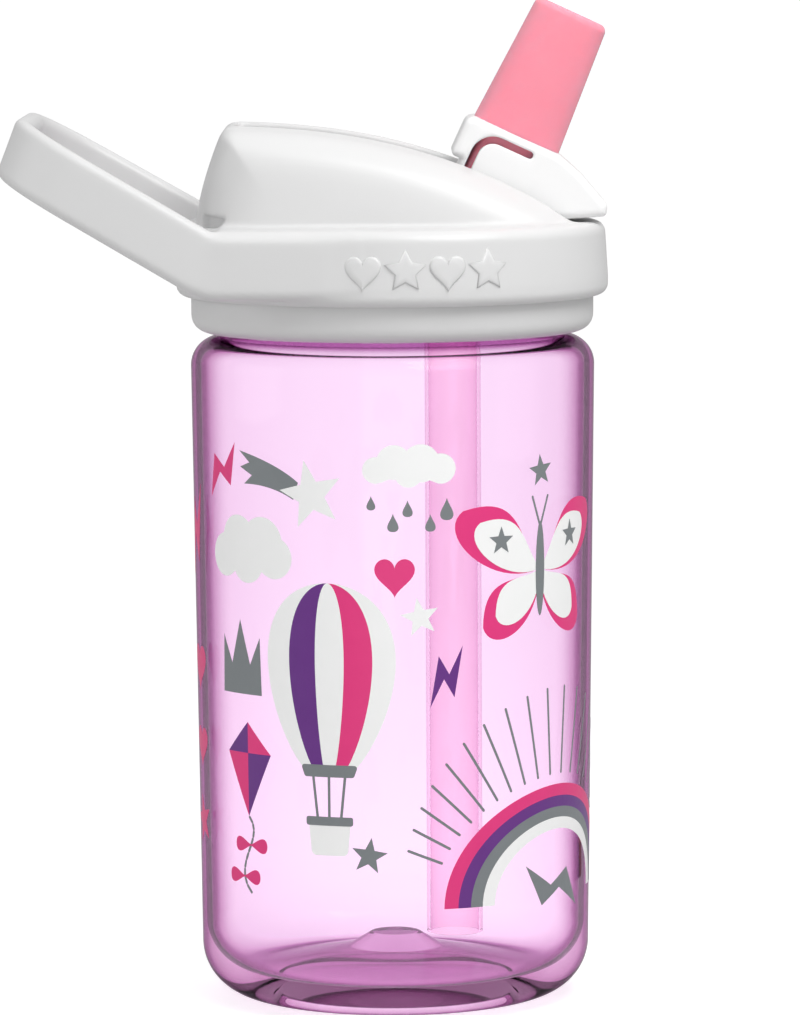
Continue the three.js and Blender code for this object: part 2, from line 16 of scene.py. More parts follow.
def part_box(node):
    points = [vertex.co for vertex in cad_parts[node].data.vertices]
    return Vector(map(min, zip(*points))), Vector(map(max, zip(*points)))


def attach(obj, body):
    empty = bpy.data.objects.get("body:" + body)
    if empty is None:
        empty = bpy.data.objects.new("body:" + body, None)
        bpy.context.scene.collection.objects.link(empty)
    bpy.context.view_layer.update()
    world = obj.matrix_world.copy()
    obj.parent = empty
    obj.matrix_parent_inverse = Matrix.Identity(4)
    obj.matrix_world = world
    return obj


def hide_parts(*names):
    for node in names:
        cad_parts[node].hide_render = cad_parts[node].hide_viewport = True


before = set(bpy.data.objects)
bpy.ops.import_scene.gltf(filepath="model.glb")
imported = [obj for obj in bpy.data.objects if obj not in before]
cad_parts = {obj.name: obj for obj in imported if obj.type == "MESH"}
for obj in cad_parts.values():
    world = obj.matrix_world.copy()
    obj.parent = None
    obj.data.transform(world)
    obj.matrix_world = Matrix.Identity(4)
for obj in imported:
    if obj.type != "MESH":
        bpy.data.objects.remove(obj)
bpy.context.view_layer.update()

MM = 0.001
TURN = 2 * pi
FAR = 1e3  # mm, further off than anything here

# ---- driving dimensions, in mm


def box_mm(node):
    """The lowest and highest corner of a CAD node, in mm."""
    low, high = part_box(node)
    return low / MM, high / MM


BOTTLE_HIGH = box_mm("bottle_body")[1]
CAP_LOW, CAP_HIGH = box_mm("threaded_cap")
STRAW_LOW, STRAW_HIGH = box_mm("straw")
GASKET_LOW, GASKET_HIGH = box_mm("cap_gasket")

GAP = 0.3  # between pieces that are fitted into each other

RIM = BOTTLE_HIGH.z
SHOULDER = RIM - 8.5
FOOT_RADIUS, TOP_RADIUS = 35.2, 36.7  # of the straight side, carried on to the foot and shoulder
WALL = 1.8
FOOT_CORNER, SHOULDER_CORNER = 9.8, 5.2
NECK_RADIUS, NECK_WALL = 31.4, 2.2
FLOOR_CORNER, FLOOR_CENTRE = 3.4, 8.4  # heights of the inside floor
FOOT_RING, FOOT_HOLLOW = 21.8, 0.8
BUMP_FOOT, BUMP_TOP, BUMP_HEIGHT = 8.5, 4.4, 2.5
THREAD_LEAD, THREAD_FOOT, THREAD_CREST, THREAD_BURY, THREAD_FADE = 4.0, 2.4, 1.2, 0.7, 1 / 12

CAP_RADIUS = CAP_HIGH.x
CAP_BORE = CAP_RADIUS - 3
DECK_TOP, SKIRT = CAP_HIGH.z, CAP_LOW.z
DECK_UNDER = DECK_TOP - 2
CAP_CORNER = 3.0

STRAW_RADIUS = (STRAW_HIGH.y - STRAW_LOW.y) / 2
STRAW_X = (STRAW_LOW.x + STRAW_HIGH.x) / 2
STRAW_WALL = 0.7
SOCKET_TOP = 128.7
PORT_X, PORT_RADIUS, PORT_LIP, SEAT_RADIUS, SEAT_FLOOR = 11.9, 2.9, 1.0, 6.9, 130.5
LIP_TOP = 134.7
VENT_X, VENT_HOLE = -13.0, 2.2

BAND_RADIUS, BAND_BORE, BAND_BOTTOM, BAND_TOP = 39.3, 36.8, 127.9, 141.3
BAND_DRAFT, BAND_EDGE, BAND_PLATE, BAND_WALL = 0.8, 2.1, 2.0, 2.2
PLATE_UNDER = BAND_TOP - BAND_PLATE

LOOP_LEAVES, LOOP_TAPER, LOOP_RISE = radians(98), radians(8), radians(30)
LOOP_HALF, LOOP_LOWER, LOOP_UPPER, LOOP_EDGE = 1.8, 129.2, 140.5, 1.6
LOOP_BEND, LOOP_BEND_RADIUS, LOOP_REAR, LOOP_LEAN = -30.0, 8.5, -74.2, 0.16
LOOP_CORNER, LOOP_ROOT, WEB_REAR = 17.0, -6.0, -33.0

DOME_FOOT, DOME_REAR, DOME_FRONT, DOME_HALF = 140.5, -35.9, 33.8, 22.5
DOME_SHELL, DOME_SQUARE = 2.0, 5.0
DOME_ROUND, DOME_EDGE = 12.0, 3.0  # how softly its top and its plan run into its sides

HINGE_X, HINGE_Z, HINGE_LEAN = 15.5, 142.5, radians(24.8)
SLOT_HALF, SLOT_REAR, SLOT_FRONT, SLOT_CHEEK = 10.2, -28.0, 26.5, 2.0
PIN_RADIUS, PIN_HOLE, PIN_REACH = 2.4, 2.75, 11.9

DRUM = 9.0
SPOUT_HALF, SPOUT_REAR, SPOUT_FRONT, SPOUT_TOP = 9.0, -9.1, 8.9, 16.0
POCKET_X, POCKET_Y, POCKET_FLOOR, POCKET_SQUARE = 6.0, 7.2, 5.0, 5
VALVE_SEAT, VALVE_LENGTH, VALVE_WALL, VALVE_X = SPOUT_TOP + GAP, 24.0, 1.7, 0.5

# ---- outlines


def rounded(corners, tolerance=0.01):
    """Points through corners (x, y) or (x, y, radius); a corner with a radius becomes an arc."""
    points = []
    for i, corner in enumerate(corners):
        here = np.array(corner[:2], float)
        radius = corner[2] if len(corner) > 2 else 0
        if not radius:
            points.append(here)
            continue
        back = np.array(corners[i - 1][:2], float) - here
        ahead = np.array(corners[(i + 1) % len(corners)][:2], float) - here
        back, ahead = back / np.linalg.norm(back), ahead / np.linalg.norm(ahead)
        half = acos(np.clip(back @ ahead, -1, 1)) / 2
        inward = (back + ahead) / np.linalg.norm(back + ahead)
        centre = here + inward * radius / sin(half)
        start = here + back * radius / tan(half) - centre
        turn = -np.sign(back[0] * ahead[1] - back[1] * ahead[0]) * (pi - 2 * half)
        steps = max(2, ceil(abs(turn) / (2 * acos(1 - tolerance / radius))))
        for step in range(steps + 1):
            c, s = cos(turn * step / steps), sin(turn * step / steps)
            points.append(centre + (c * start[0] - s * start[1], s * start[0] + c * start[1]))
    return points


def polar(reach, angle):
    """The point at a distance from (0, 0), in a direction."""
    return reach * cos(angle), reach * sin(angle)


def bezier(start, *pulls, steps=12):
    """Points of a curve from start, shaped by its pulls, to the last of them, without its start."""
    points = [np.array(p, float) for p in (start, *pulls)]
    curve = []
    for step in range(1, steps + 1):
        t = step / steps
        level = points
        while len(level) > 1:
            level = [a * (1 - t) + b * t for a, b in zip(level, level[1:])]
        curve.append(level[0])
    return curve


# ---- distance fields


def grid(low, high, step):
    """The x, y and z of a grid's points, ready to be combined."""
    axes = [np.arange(a, b + step, step, dtype=np.float32) for a, b in zip(low, high)]
    return np.meshgrid(*axes, indexing="ij", sparse=True)


def grid_round(x, side, bottom, top, step):
    """A square grid round an upright axis at x, and its lowest corner."""
    low = (x - side, -side, bottom)
    return low, grid(low, (x + side, side, top), step)


def join(a, b, soft=0.5):
    """Both bodies, with a fillet of about soft where they meet."""
    near = np.maximum(soft - np.abs(a - b), 0)
    return np.minimum(a, b) - near * near / (4 * soft)


def common(a, b, soft=0.5):
    """What both bodies hold, with its edge rounded by about soft."""
    return -join(-a, -b, soft)


def within(first, *others):
    """What all of the bodies hold, with sharp edges."""
    for other in others:
        first = np.maximum(first, other)
    return first


def cut(a, b, soft=0.5):
    """The first body without the second, with the edge rounded by about soft."""
    return -join(-a, b, soft)


def slab(u, low, high):
    """All that lies between two parallel planes."""
    return np.abs(u - (low + high) / 2) - (high - low) / 2


def prism(section, length, edge):
    """A section given depth by a slab, with edges of a radius."""
    a, b = section + edge, length + edge
    return np.minimum(np.maximum(a, b), 0) + np.hypot(np.maximum(a, 0), np.maximum(b, 0)) - edge


def polygon(u, v, corners):
    """Signed distance to an outline in the plane of u and v."""
    shape = np.broadcast_shapes(u.shape, v.shape)
    nearest = np.full(shape, FAR * FAR, np.float32)
    inside = np.zeros(shape, bool)
    for (ax, ay), (bx, by) in zip(corners, [*corners[1:], corners[0]]):
        ex, ey = bx - ax, by - ay
        if ex == 0 and ey == 0:
            continue
        pu, pv = u - ax, v - ay
        t = np.clip((pu * ex + pv * ey) / (ex * ex + ey * ey), 0, 1)
        nearest = np.minimum(nearest, (pu - ex * t) ** 2 + (pv - ey * t) ** 2)
        if ey != 0:
            crossed = ((v >= ay) != (v >= by)) & (pu < ex * pv / ey)
            inside ^= crossed
    distance = np.sqrt(nearest)
    return np.where(inside, -distance, distance)


def squircle(u, v, half_u, half_v, squareness):
    """About the distance to a superellipse."""
    reach = (np.abs(u / half_u) ** squareness + np.abs(v / half_v) ** squareness) ** (1 / squareness)
    return (reach - 1) * np.minimum(half_u, half_v)


# ---- meshes


def sample(field, at):
    """The field between its grid points, at positions counted in cells."""
    top = np.array(field.shape) - 2
    cell = np.clip(np.floor(at).astype(int), 0, top)
    part = at - cell
    total = np.zeros(len(at))
    for corner in np.ndindex(2, 2, 2):
        weight = np.prod(np.where(corner, part, 1 - part), axis=1)
        total += weight * field[tuple((cell + corner).T)]
    return total


def net(field):
    """Vertices, in cells, and quads of the field's zero level: one vertex in each cell it crosses."""
    inside = field < 0
    corners = list(np.ndindex(2, 2, 2))
    core = tuple(n - 1 for n in field.shape)
    count = np.zeros(core, np.int8)
    for i, j, k in corners:
        count += inside[i : core[0] + i, j : core[1] + j, k : core[2] + k]
    cells = np.argwhere((count > 0) & (count < 8))
    values = {c: field[tuple((cells + c).T)] for c in corners}
    total, crossings = np.zeros(cells.shape), np.zeros(len(cells))
    for a in corners:
        for axis in range(3):
            if a[axis]:
                continue
            b = tuple(v + (n == axis) for n, v in enumerate(a))
            crossed = (values[a] < 0) != (values[b] < 0)
            gap = np.where(crossed, values[a] - values[b], 1)
            point = np.array(a, float) + np.outer(values[a] / gap, np.eye(3)[axis])
            total += point * crossed[:, None]
            crossings += crossed
    points = cells + total / crossings[:, None]
    number = np.full(core, -1)
    number[tuple(cells.T)] = np.arange(len(cells))
    quads = []
    for axis in range(3):
        u, v = (axis + 1) % 3, (axis + 2) % 3
        first, second = np.moveaxis(inside, axis, 0)[:-1], np.moveaxis(inside, axis, 0)[1:]
        at = np.argwhere(np.moveaxis(first != second, 0, axis))
        at = at[(at[:, u] > 0) & (at[:, v] > 0) & (at[:, u] < core[u]) & (at[:, v] < core[v])]
        step_u, step_v = np.eye(3, dtype=int)[u], np.eye(3, dtype=int)[v]
        ring = [at - step_u - step_v, at - step_v, at, at - step_u]
        quad = np.stack([number[tuple(p.T)] for p in ring], 1)
        leaving = inside[tuple(at.T)]
        quads.append(np.where(leaving[:, None], quad, quad[:, ::-1]))
    return points, np.concatenate(quads)


def surface(name, field, low, step, place=Matrix.Identity(4)):
    """A mesh of the field's surface, with each vertex moved onto the zero level."""
    rounds, least_slope, longest_move = 2, 0.05, 0.5
    points, quads = net(field)
    slopes = np.gradient(field)
    for _ in range(rounds):
        slope = np.stack([sample(s, points) for s in slopes], 1)
        steep = np.maximum((slope**2).sum(1), least_slope)
        move = slope * (sample(field, points) / steep)[:, None]
        points = points - np.clip(move, -longest_move, longest_move)
    return mesh_object(name, points * step + np.array(low), quads, place)


def placed(name, data):
    """An object of some data, put into the scene."""
    piece = bpy.data.objects.new(name, data)
    bpy.context.scene.collection.objects.link(piece)
    return piece


def mesh_object(name, points, faces, place=Matrix.Identity(4)):
    """A smooth mesh object from points in mm."""
    mesh = bpy.data.meshes.new(name)
    mesh.from_pydata((np.asarray(points) * MM).tolist(), [], [list(face) for face in faces])
    mesh.transform(place)
    mesh.shade_smooth()
    mesh.update()
    return placed(name, mesh)


def held(points, closed=True, margin=0.4, longest=4.0):
    """An outline with extra points beside its corners and along its long sides."""
    out = [] if closed else [points[-1]]
    for a, b in zip(points if closed else points[:-1], [*points[1:], points[0]]):
        a, b = np.array(a, float), np.array(b, float)
        length = np.linalg.norm(b - a)
        out.append(a)
        if length > 3 * margin:
            inner = max(1, ceil((length - 2 * margin) / longest))
            shares = np.linspace(margin / length, 1 - margin / length, inner + 1)
            out.extend(a + (b - a) * share for share in shares)
    return out if closed else out[1:] + out[:1]


def lathe(name, outline, x=0.0, segments=256, shift=None):
    """A body turned about +Z from an outline (radius, z), which lies beside the axis or on it."""
    outline = np.array(outline, float)
    closed = outline[:, 0].min() > 0
    angles = np.arange(segments) * TURN / segments
    radius = np.repeat(outline[:, :1], segments, 1)
    if shift is not None:
        radius = radius + shift(angles[None, :], outline[:, 1:2], radius)
    height = np.repeat(outline[:, 1:], segments, 1)
    points = np.stack([x + radius * np.cos(angles), radius * np.sin(angles), height], 2)
    rows = len(outline)
    number = np.arange(rows * segments).reshape(rows, segments)
    ahead = np.roll(number, -1, 1)
    last = rows if closed else rows - 1
    above, above_ahead = np.roll(number, -1, 0), np.roll(ahead, -1, 0)
    quads = np.stack([number, ahead, above_ahead, above], 2)[:last].reshape(-1, 4)
    return outward(mesh_object(name, points.reshape(-1, 3), quads), weld=not closed)


def outward(piece, weld):
    """Turns a solid's faces outward, after merging the points that share its axis."""
    same, nothing = 1e-7, 1e-8
    body = bmesh.new()
    body.from_mesh(piece.data)
    if weld:
        bmesh.ops.remove_doubles(body, verts=body.verts, dist=same)
        bmesh.ops.dissolve_degenerate(body, edges=body.edges, dist=nothing)
    if body.calc_volume(signed=True) < 0:
        bmesh.ops.reverse_faces(body, faces=body.faces)
    body.to_mesh(piece.data)
    body.free()
    return piece


# ---- materials


def new_material(name):
    """A material, its node tree and its Principled node."""
    material = bpy.data.materials.new(name)
    material.use_nodes = True
    return material, material.node_tree, material.node_tree.nodes["Principled BSDF"]


def fill(node, **inputs):
    """Sets a node's inputs, each from a value or an output; _ stands for a space in a name."""
    for name, value in inputs.items():
        socket = node.inputs[name.replace("_", " ")]
        if isinstance(value, bpy.types.NodeSocket):
            node.id_data.links.new(value, socket)
        else:
            socket.default_value = value
    return node


def add_node(tree, kind, **inputs):
    """Adds a shader node of a kind and fills its inputs."""
    return fill(tree.nodes.new(f"ShaderNode{kind}"), **inputs)


def noise(tree, scale, detail=3.0):
    """A noise texture in object space, whose scale is in features per metre."""
    where = add_node(tree, "TexCoord").outputs["Object"]
    return add_node(tree, "TexNoise", Vector=where, Scale=scale, Detail=detail).outputs["Fac"]


def spread(tree, source, **ends):
    """Maps a value from one range to another; each range is 0 to 1 unless its ends are given."""
    return add_node(tree, "MapRange", Value=source, **ends).outputs["Result"]


def blend(tree, factor, first, second, how="MIX"):
    """Two colours mixed or multiplied by a factor."""
    mix = tree.nodes.new("ShaderNodeMix")
    mix.data_type = "RGBA"
    mix.blend_type = how
    return fill(mix, Factor=factor, A=first, B=second).outputs["Result"]


def tone(tree, source, low, high):
    """A colour that runs between two by a factor."""
    return blend(tree, source, (*low, 1), (*high, 1))


def satin(tree, shader, dull, duller, patches, grain, height, strength):
    """Varies the roughness in patches and raises a grain; both are in features per metre."""
    coarse = 2.0
    bump = add_node(
        tree, "Bump", Height=noise(tree, grain, coarse), Distance=height * MM, Strength=strength)
    rough = spread(tree, noise(tree, patches), To_Min=dull, To_Max=duller)
    fill(shader, Roughness=rough, Normal=bump.outputs["Normal"])


def white_plastic(name, shade):
    """Moulded white plastic with a fine satin grain and a faint flow mottle."""
    material, tree, shader = new_material(name)
    flow, uneven = 60.0, 0.015
    low, high = shade - uneven, shade + uneven
    fill(shader, Base_Color=tone(tree, noise(tree, flow), (low, low, low), (high, high, high)))
    satin(tree, shader, 0.32, 0.44, patches=900.0, grain=2600.0, height=0.006, strength=0.5)
    return material


def tint_and_shade_by_angle(tree, *stops):
    """The colour of clear plastic by how edge on it is seen, 0 to 1: the tint a wall has, deeper edge on,
    and painted shade where the stops run darker than that.
    """
    facing = add_node(tree, "LayerWeight").outputs["Facing"]
    ramp = add_node(tree, "ValToRGB", Fac=facing)
    elements = ramp.color_ramp.elements
    for stop in stops[1:-1]:
        elements.new(stop[0])
    for element, (share, colour) in zip(elements, stops):
        element.position = share
        element.color = (*colour, 1)
    return ramp.outputs["Color"]


def darken_above(tree, tint, height, fade, colour):
    """A tint multiplied by a colour, which fades in up to a height."""
    where = add_node(tree, "TexCoord").outputs["Object"]
    z = add_node(tree, "SeparateXYZ", Vector=where).outputs["Z"]
    share = spread(tree, z, From_Min=(height - fade) * MM, From_Max=height * MM)
    return blend(tree, share, tint, (*colour, 1), "MULTIPLY")


def see_through(shader, tint, ior):
    """Makes a shader clear, with hardly any bending of light, under a thin gloss."""
    fill(shader, Base_Color=tint, Roughness=0.0, IOR=ior, Transmission_Weight=1.0,
         Coat_Weight=0.25, Coat_Roughness=0.02)


def clear_plastic():
    """The shell: clear pink, deeper where more of it is looked through, with painted shade at its edge-on
    walls, and deeper at the neck, partly for its thicker wall and partly as painted shade under the cap.
    """
    material, tree, shader = new_material("clear_pink_plastic")
    # Edge on this runs to near black: painted shade for the dark edges of the walls, beyond what their tint
    # gives.
    tint = tint_and_shade_by_angle(
        tree, (0.0, (1.0, 0.88, 1.0)), (0.5, (0.96, 0.82, 0.95)), (0.70, (0.64, 0.38, 0.59)),
        (0.78, (0.28, 0.09, 0.25)), (1.0, (0.03, 0.0, 0.025)))
    # Tinted deeper at the neck, partly for its thicker wall and partly as painted shade from the cap above
    # it.
    neck, fade, neck_tint_and_shade = SHOULDER - 0.2, 1.2, (0.42, 0.16, 0.38)
    see_through(shader, darken_above(tree, tint, neck, fade, neck_tint_and_shade), ior=1.03)
    absorb = add_node(tree, "VolumeAbsorption", Color=(0.58, 0.0, 0.46, 1), Density=19.0)
    fill(tree.nodes["Material Output"], Volume=absorb.outputs["Volume"])
    return material


def straw_plastic():
    """The straw's clear tube, a little cloudier than the shell."""
    material, tree, shader = new_material("tinted_straw")
    tint = tint_and_shade_by_angle(
        tree, (0.0, (1.0, 0.86, 0.93)), (0.6, (0.93, 0.74, 0.85)), (1.0, (0.62, 0.36, 0.54)))
    see_through(shader, tint, ior=1.04)
    cloudy = 300.0
    fill(shader, Roughness=spread(tree, noise(tree, cloudy), To_Min=0.01, To_Max=0.06))
    return material


def silicone(name, low, high, through, dull):
    """Soft rubbery silicone that light soaks into."""
    material, tree, shader = new_material(name)
    mottle, uneven = 120.0, 0.12
    fill(shader, Base_Color=tone(tree, noise(tree, mottle), low, high), Subsurface_Weight=1.0,
         Subsurface_Radius=(2.2, 0.9, 0.9), Subsurface_Scale=0.35 * MM, IOR=1.41,
         Specular_IOR_Level=0.3, Transmission_Weight=through)
    satin(tree, shader, dull, dull + uneven, patches=700.0, grain=1800.0, height=0.008, strength=0.4)
    return material


def ink(name, colour):
    """Screen-printed ink with a slightly uneven coat."""
    material, tree, shader = new_material(name)
    blotch, fine = 220.0, 5.0
    thin = tuple(min(1.0, c * 1.06 + 0.01) for c in colour)
    fill(shader, Base_Color=tone(tree, noise(tree, blotch, fine), colour, thin))
    satin(tree, shader, 0.3, 0.45, patches=1500.0, grain=2500.0, height=0.004, strength=0.5)
    return material


def dress(piece, material, body, slot, *nodes):
    """Gives a piece its material and its body, and hides the CAD nodes it stands for; slot is not used."""
    piece.data.materials.clear()
    piece.data.materials.append(material)
    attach(piece, body)
    if nodes:
        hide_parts(*nodes)
    return piece


WHITE = white_plastic("white_plastic", shade=0.71)
# The spout's white: the same plastic painted lighter, as painted light for the stronger light that falls on
# it.
WHITE_PAINTED_LIGHTER = white_plastic("white_plastic_painted_lighter", shade=0.9)
CLEAR = clear_plastic()
STRAW = straw_plastic()
PINK_SILICONE = silicone("pink_silicone", (1.0, 0.30, 0.39), (1.0, 0.36, 0.45), through=0.0, dull=0.40)
RED_SILICONE = silicone("red_silicone", (0.55, 0.04, 0.10), (0.62, 0.06, 0.13), through=0.0, dull=0.4)
MILKY_SILICONE = silicone("milky_silicone", (0.78, 0.78, 0.80), (0.84, 0.84, 0.86), through=0.2, dull=0.35)
INKS = {
    "magenta": ink("magenta_ink", (0.80, 0.03, 0.21)),
    "purple": ink("purple_ink", (0.13, 0.02, 0.23)),
    "grey": ink("grey_ink", (0.20, 0.22, 0.23)),
    "white": ink("white_ink", (0.96, 0.97, 0.96)),
}

# ---- the bottle


def side_radius(z):
    """The outer radius of the straight side at a height."""
    return FOOT_RADIUS + (TOP_RADIUS - FOOT_RADIUS) * z / SHOULDER


def neck_thread(angle, z, radius):
    """How far the neck's thread raises its surface."""
    bottom, turns, height, hair = 122.2, 1.25, 1.3, 0.01
    share = (angle % TURN) / TURN
    raised = np.zeros(np.broadcast_shapes(share.shape, radius.shape))
    for lap in range(ceil(turns)):
        travelled = share + lap
        fade = np.clip(np.minimum(travelled, turns - travelled) / THREAD_FADE, 0, 1)
        off = np.abs(z - bottom - THREAD_LEAD * travelled)
        flank = (THREAD_FOOT - THREAD_CREST) / 2
        raised = np.maximum(raised, fade * np.clip((THREAD_FOOT / 2 - off) / flank, 0, 1))
    on_neck = (np.abs(radius - NECK_RADIUS) < hair) & (z > SHOULDER)
    return np.where(on_neck, raised * height, 0)


def bottle_shell():
    """The clear shell, with its thick crowned floor, shoulder, neck and thread."""
    mouth = NECK_RADIUS - NECK_WALL
    foot, lip, slope, throat = 0.8, 0.6, 1.2, 1.2
    bump_fillet, bump_edge = 1.6, 0.9
    thread_step, tolerance = 0.25, 0.004
    neck = [(NECK_RADIUS, z) for z in np.arange(SHOULDER + lip, RIM - foot, thread_step)]
    corners = [
        (0, FOOT_HOLLOW), (FOOT_RING - slope, FOOT_HOLLOW, foot), (FOOT_RING, 0, foot),
        (FOOT_RADIUS, 0, FOOT_CORNER),
        (TOP_RADIUS, SHOULDER, SHOULDER_CORNER),
        (NECK_RADIUS, SHOULDER), *neck, (NECK_RADIUS, RIM, lip), (mouth, RIM, lip),
        (mouth, SHOULDER - WALL, throat),
        (TOP_RADIUS - WALL, SHOULDER - WALL, SHOULDER_CORNER - WALL),
        (FOOT_RADIUS - WALL, FLOOR_CORNER, FOOT_CORNER - WALL),
        (BUMP_FOOT, FLOOR_CENTRE, bump_fillet),
        (BUMP_TOP, FLOOR_CENTRE + BUMP_HEIGHT, bump_edge),
        (0, FLOOR_CENTRE + BUMP_HEIGHT),
    ]
    outline = held(rounded(corners, tolerance), closed=False)
    shell = lathe("bottle_shell", outline, shift=neck_thread)
    return dress(shell, CLEAR, "bottle", "clear_shell", "bottle_body")


def sleeve(bore, radius, bottom, top, edge):
    """The section of a tube with rounded ends."""
    corners = [(bore, bottom), (radius, bottom), (radius, top), (bore, top)]
    return held(rounded([(*corner, edge) for corner in corners]))


def straw_tube():
    """The straw, with its wall and open ends."""
    outline = sleeve(STRAW_RADIUS - STRAW_WALL, STRAW_RADIUS, STRAW_LOW.z, STRAW_HIGH.z, edge=0.2)
    tube = lathe("straw_tube", outline, x=STRAW_X, segments=96)
    return dress(tube, STRAW, "cap", "tinted_straw", "straw")


def gasket_ring():
    """The soft ring between the bottle's rim and the cap."""
    bore = NECK_RADIUS - NECK_WALL + GAP
    outline = sleeve(bore, GASKET_HIGH.x, GASKET_LOW.z, GASKET_HIGH.z, edge=0.4)
    ring = lathe("gasket_ring", outline, segments=192)
    return dress(ring, MILKY_SILICONE, "gasket", "clear_silicone", "cap_gasket")


# ---- the cap


def cap_thread(x, y, z):
    """The ridge inside the cap, which fades out at both ends."""
    crest, bottom, start, turns = 31.9, 120.2, 5 / 8, 1.0
    depth, angle, raised = CAP_BORE - crest, np.arctan2(y, x) / TURN, CAP_BORE - np.hypot(x, y)
    half_width = (THREAD_FOOT + (THREAD_CREST - THREAD_FOOT) * np.clip(raised / depth, 0, 1)) / 2
    ridge = np.full(np.broadcast_shapes(raised.shape, z.shape), FAR, np.float32)
    for lap in range(-1, 4):
        travelled = angle + lap - start
        height = np.clip(np.minimum(travelled, turns - travelled) / THREAD_FADE, 0, 1)
        off = np.abs(z - bottom - THREAD_LEAD * (angle + lap))
        body = within(off - half_width, raised - depth * height, -raised - THREAD_BURY)
        ridge = np.minimum(ridge, np.where((travelled < 0) | (travelled > turns), FAR, body))
    return ridge


def screw_cap():
    """The threaded half of the cap: skirt, deck, straw socket, seal seat and vent hole."""
    step, margin, side, past_axis = 0.4, 1.2, 38.0, -5
    low, (x, y, z) = grid_round(0, side, SKIRT - margin, DECK_TOP + margin, step)
    radius = np.hypot(x, y)
    edge, lip, tolerance = 0.6, 0.5, 0.03
    cup = polygon(radius, z, rounded([
        (past_axis, DECK_UNDER),
        (CAP_BORE, DECK_UNDER, edge),
        (CAP_BORE, SKIRT, lip),
        (CAP_RADIUS, SKIRT, CAP_CORNER),
        (CAP_RADIUS, DECK_TOP, edge),
        (past_axis, DECK_TOP),
    ], tolerance))
    port_reach = np.hypot(x - PORT_X, y)
    straw_reach = np.hypot(x - STRAW_X, y) - STRAW_RADIUS - GAP
    seat_wall, socket_wall, lift, soft = 1.7, 1.9, 0.1, 0.3
    seat_boss = within(port_reach - SEAT_RADIUS - seat_wall, slab(z, SOCKET_TOP, DECK_TOP))
    straw_boss = within(straw_reach - socket_wall, slab(z, SKIRT + lift, DECK_TOP))
    body = join(join(join(cup, cap_thread(x, y, z), soft), seat_boss), straw_boss)
    holes = [
        within(port_reach - SEAT_RADIUS, SEAT_FLOOR - z),
        within(port_reach - PORT_RADIUS, SKIRT - z),
        within(straw_reach, z - SOCKET_TOP),
        np.hypot(x - VENT_X, y) - VENT_HOLE + 0 * z,
    ]
    for hole in holes:
        body = cut(body, hole, soft)
    return dress(surface("screw_cap", body, low, step), WHITE, "cap", "white_cap", "threaded_cap")


def seal_lip():
    """The dark pink lip that the spout's drum wipes."""
    step, side, above = 0.15, 7.2, 0.4
    flange_edge, lip_edge, wiped_edge = 0.4, 0.3, 0.2
    low, (x, y, z) = grid_round(PORT_X, side, SEAT_FLOOR, LIP_TOP + above, step)
    reach = np.hypot(x - PORT_X, y)
    foot = SEAT_FLOOR + GAP
    flange = prism(reach - SEAT_RADIUS + GAP, slab(z, foot, DECK_TOP - GAP), flange_edge)
    lip = prism(reach - PORT_RADIUS - PORT_LIP, slab(z, foot, LIP_TOP), lip_edge)
    body = cut(join(flange, lip), reach - PORT_RADIUS + 0 * z, lip_edge)
    body = cut(body, np.hypot(x - HINGE_X, z - HINGE_Z) - DRUM - GAP + 0 * y, wiped_edge)
    return dress(surface("seal_lip", body, low, step), RED_SILICONE, "cap", "red_silicone", "spout_seal")


def vent_duckbill():
    """The one-way air valve: a flange on the deck, a bead below it and a slit bill."""
    step, side, margin = 0.12, 4.2, 0.5
    tip, bill, air_floor = 125.0, 128.7, 127.4
    nib, air, stem, bead, flange, plate, past_axis = 0.7, 0.9, 1.9, 2.8, 3.6, 1.0, -2
    slit_x, slit_y, bore_edge, slit_edge = 0.2, 0.45, 0.25, 0.1
    above, below = DECK_TOP + GAP, DECK_UNDER - GAP
    low, (x, y, z) = grid_round(VENT_X, side, tip - margin, above + plate + margin, step)
    reach = np.hypot(x - VENT_X, y)
    body = polygon(reach, z, [
        (past_axis, tip), (nib, tip), (stem, bill), (bead, below - plate), (bead, below),
        (stem, below), (stem, above), (flange, above), (flange, above + plate),
        (past_axis, above + plate),
    ])
    body = cut(body, within(reach - air, air_floor - z), bore_edge)
    slit = within(slab(x, VENT_X - slit_x, VENT_X + slit_x), np.abs(y) - slit_y, z - bill)
    body = cut(body, slit, slit_edge)
    valve = surface("vent_duckbill", body, low, step)
    return dress(valve, MILKY_SILICONE, "cap", "clear_silicone", "vent_valve")


# ---- the shroud


def loop_half_width(x):
    """Half the width over the loop's outer faces at x, where it is still flat."""
    leaves_x = BAND_RADIUS * cos(LOOP_LEAVES)
    return BAND_RADIUS * sin(LOOP_LEAVES) - (leaves_x - x) * tan(LOOP_TAPER)


def unbend(x, z):
    """Where a point of the bent strap lies on the flat one."""
    middle = (LOOP_LOWER + LOOP_UPPER) / 2
    centre_z = middle + LOOP_BEND_RADIUS
    back, down = LOOP_BEND - x, centre_z - z
    angle = np.clip(np.arctan2(back, down), 0, LOOP_RISE)
    along = back * np.cos(angle) - down * np.sin(angle)
    arm = back * np.sin(angle) + down * np.cos(angle)
    past = angle * LOOP_BEND_RADIUS + along
    flat_z = centre_z - arm
    length = LOOP_BEND - LOOP_REAR
    lean = LOOP_LEAN * (np.clip(past, 0, None) / length) ** 2 * (flat_z - middle)
    return LOOP_BEND - (past - lean), flat_z


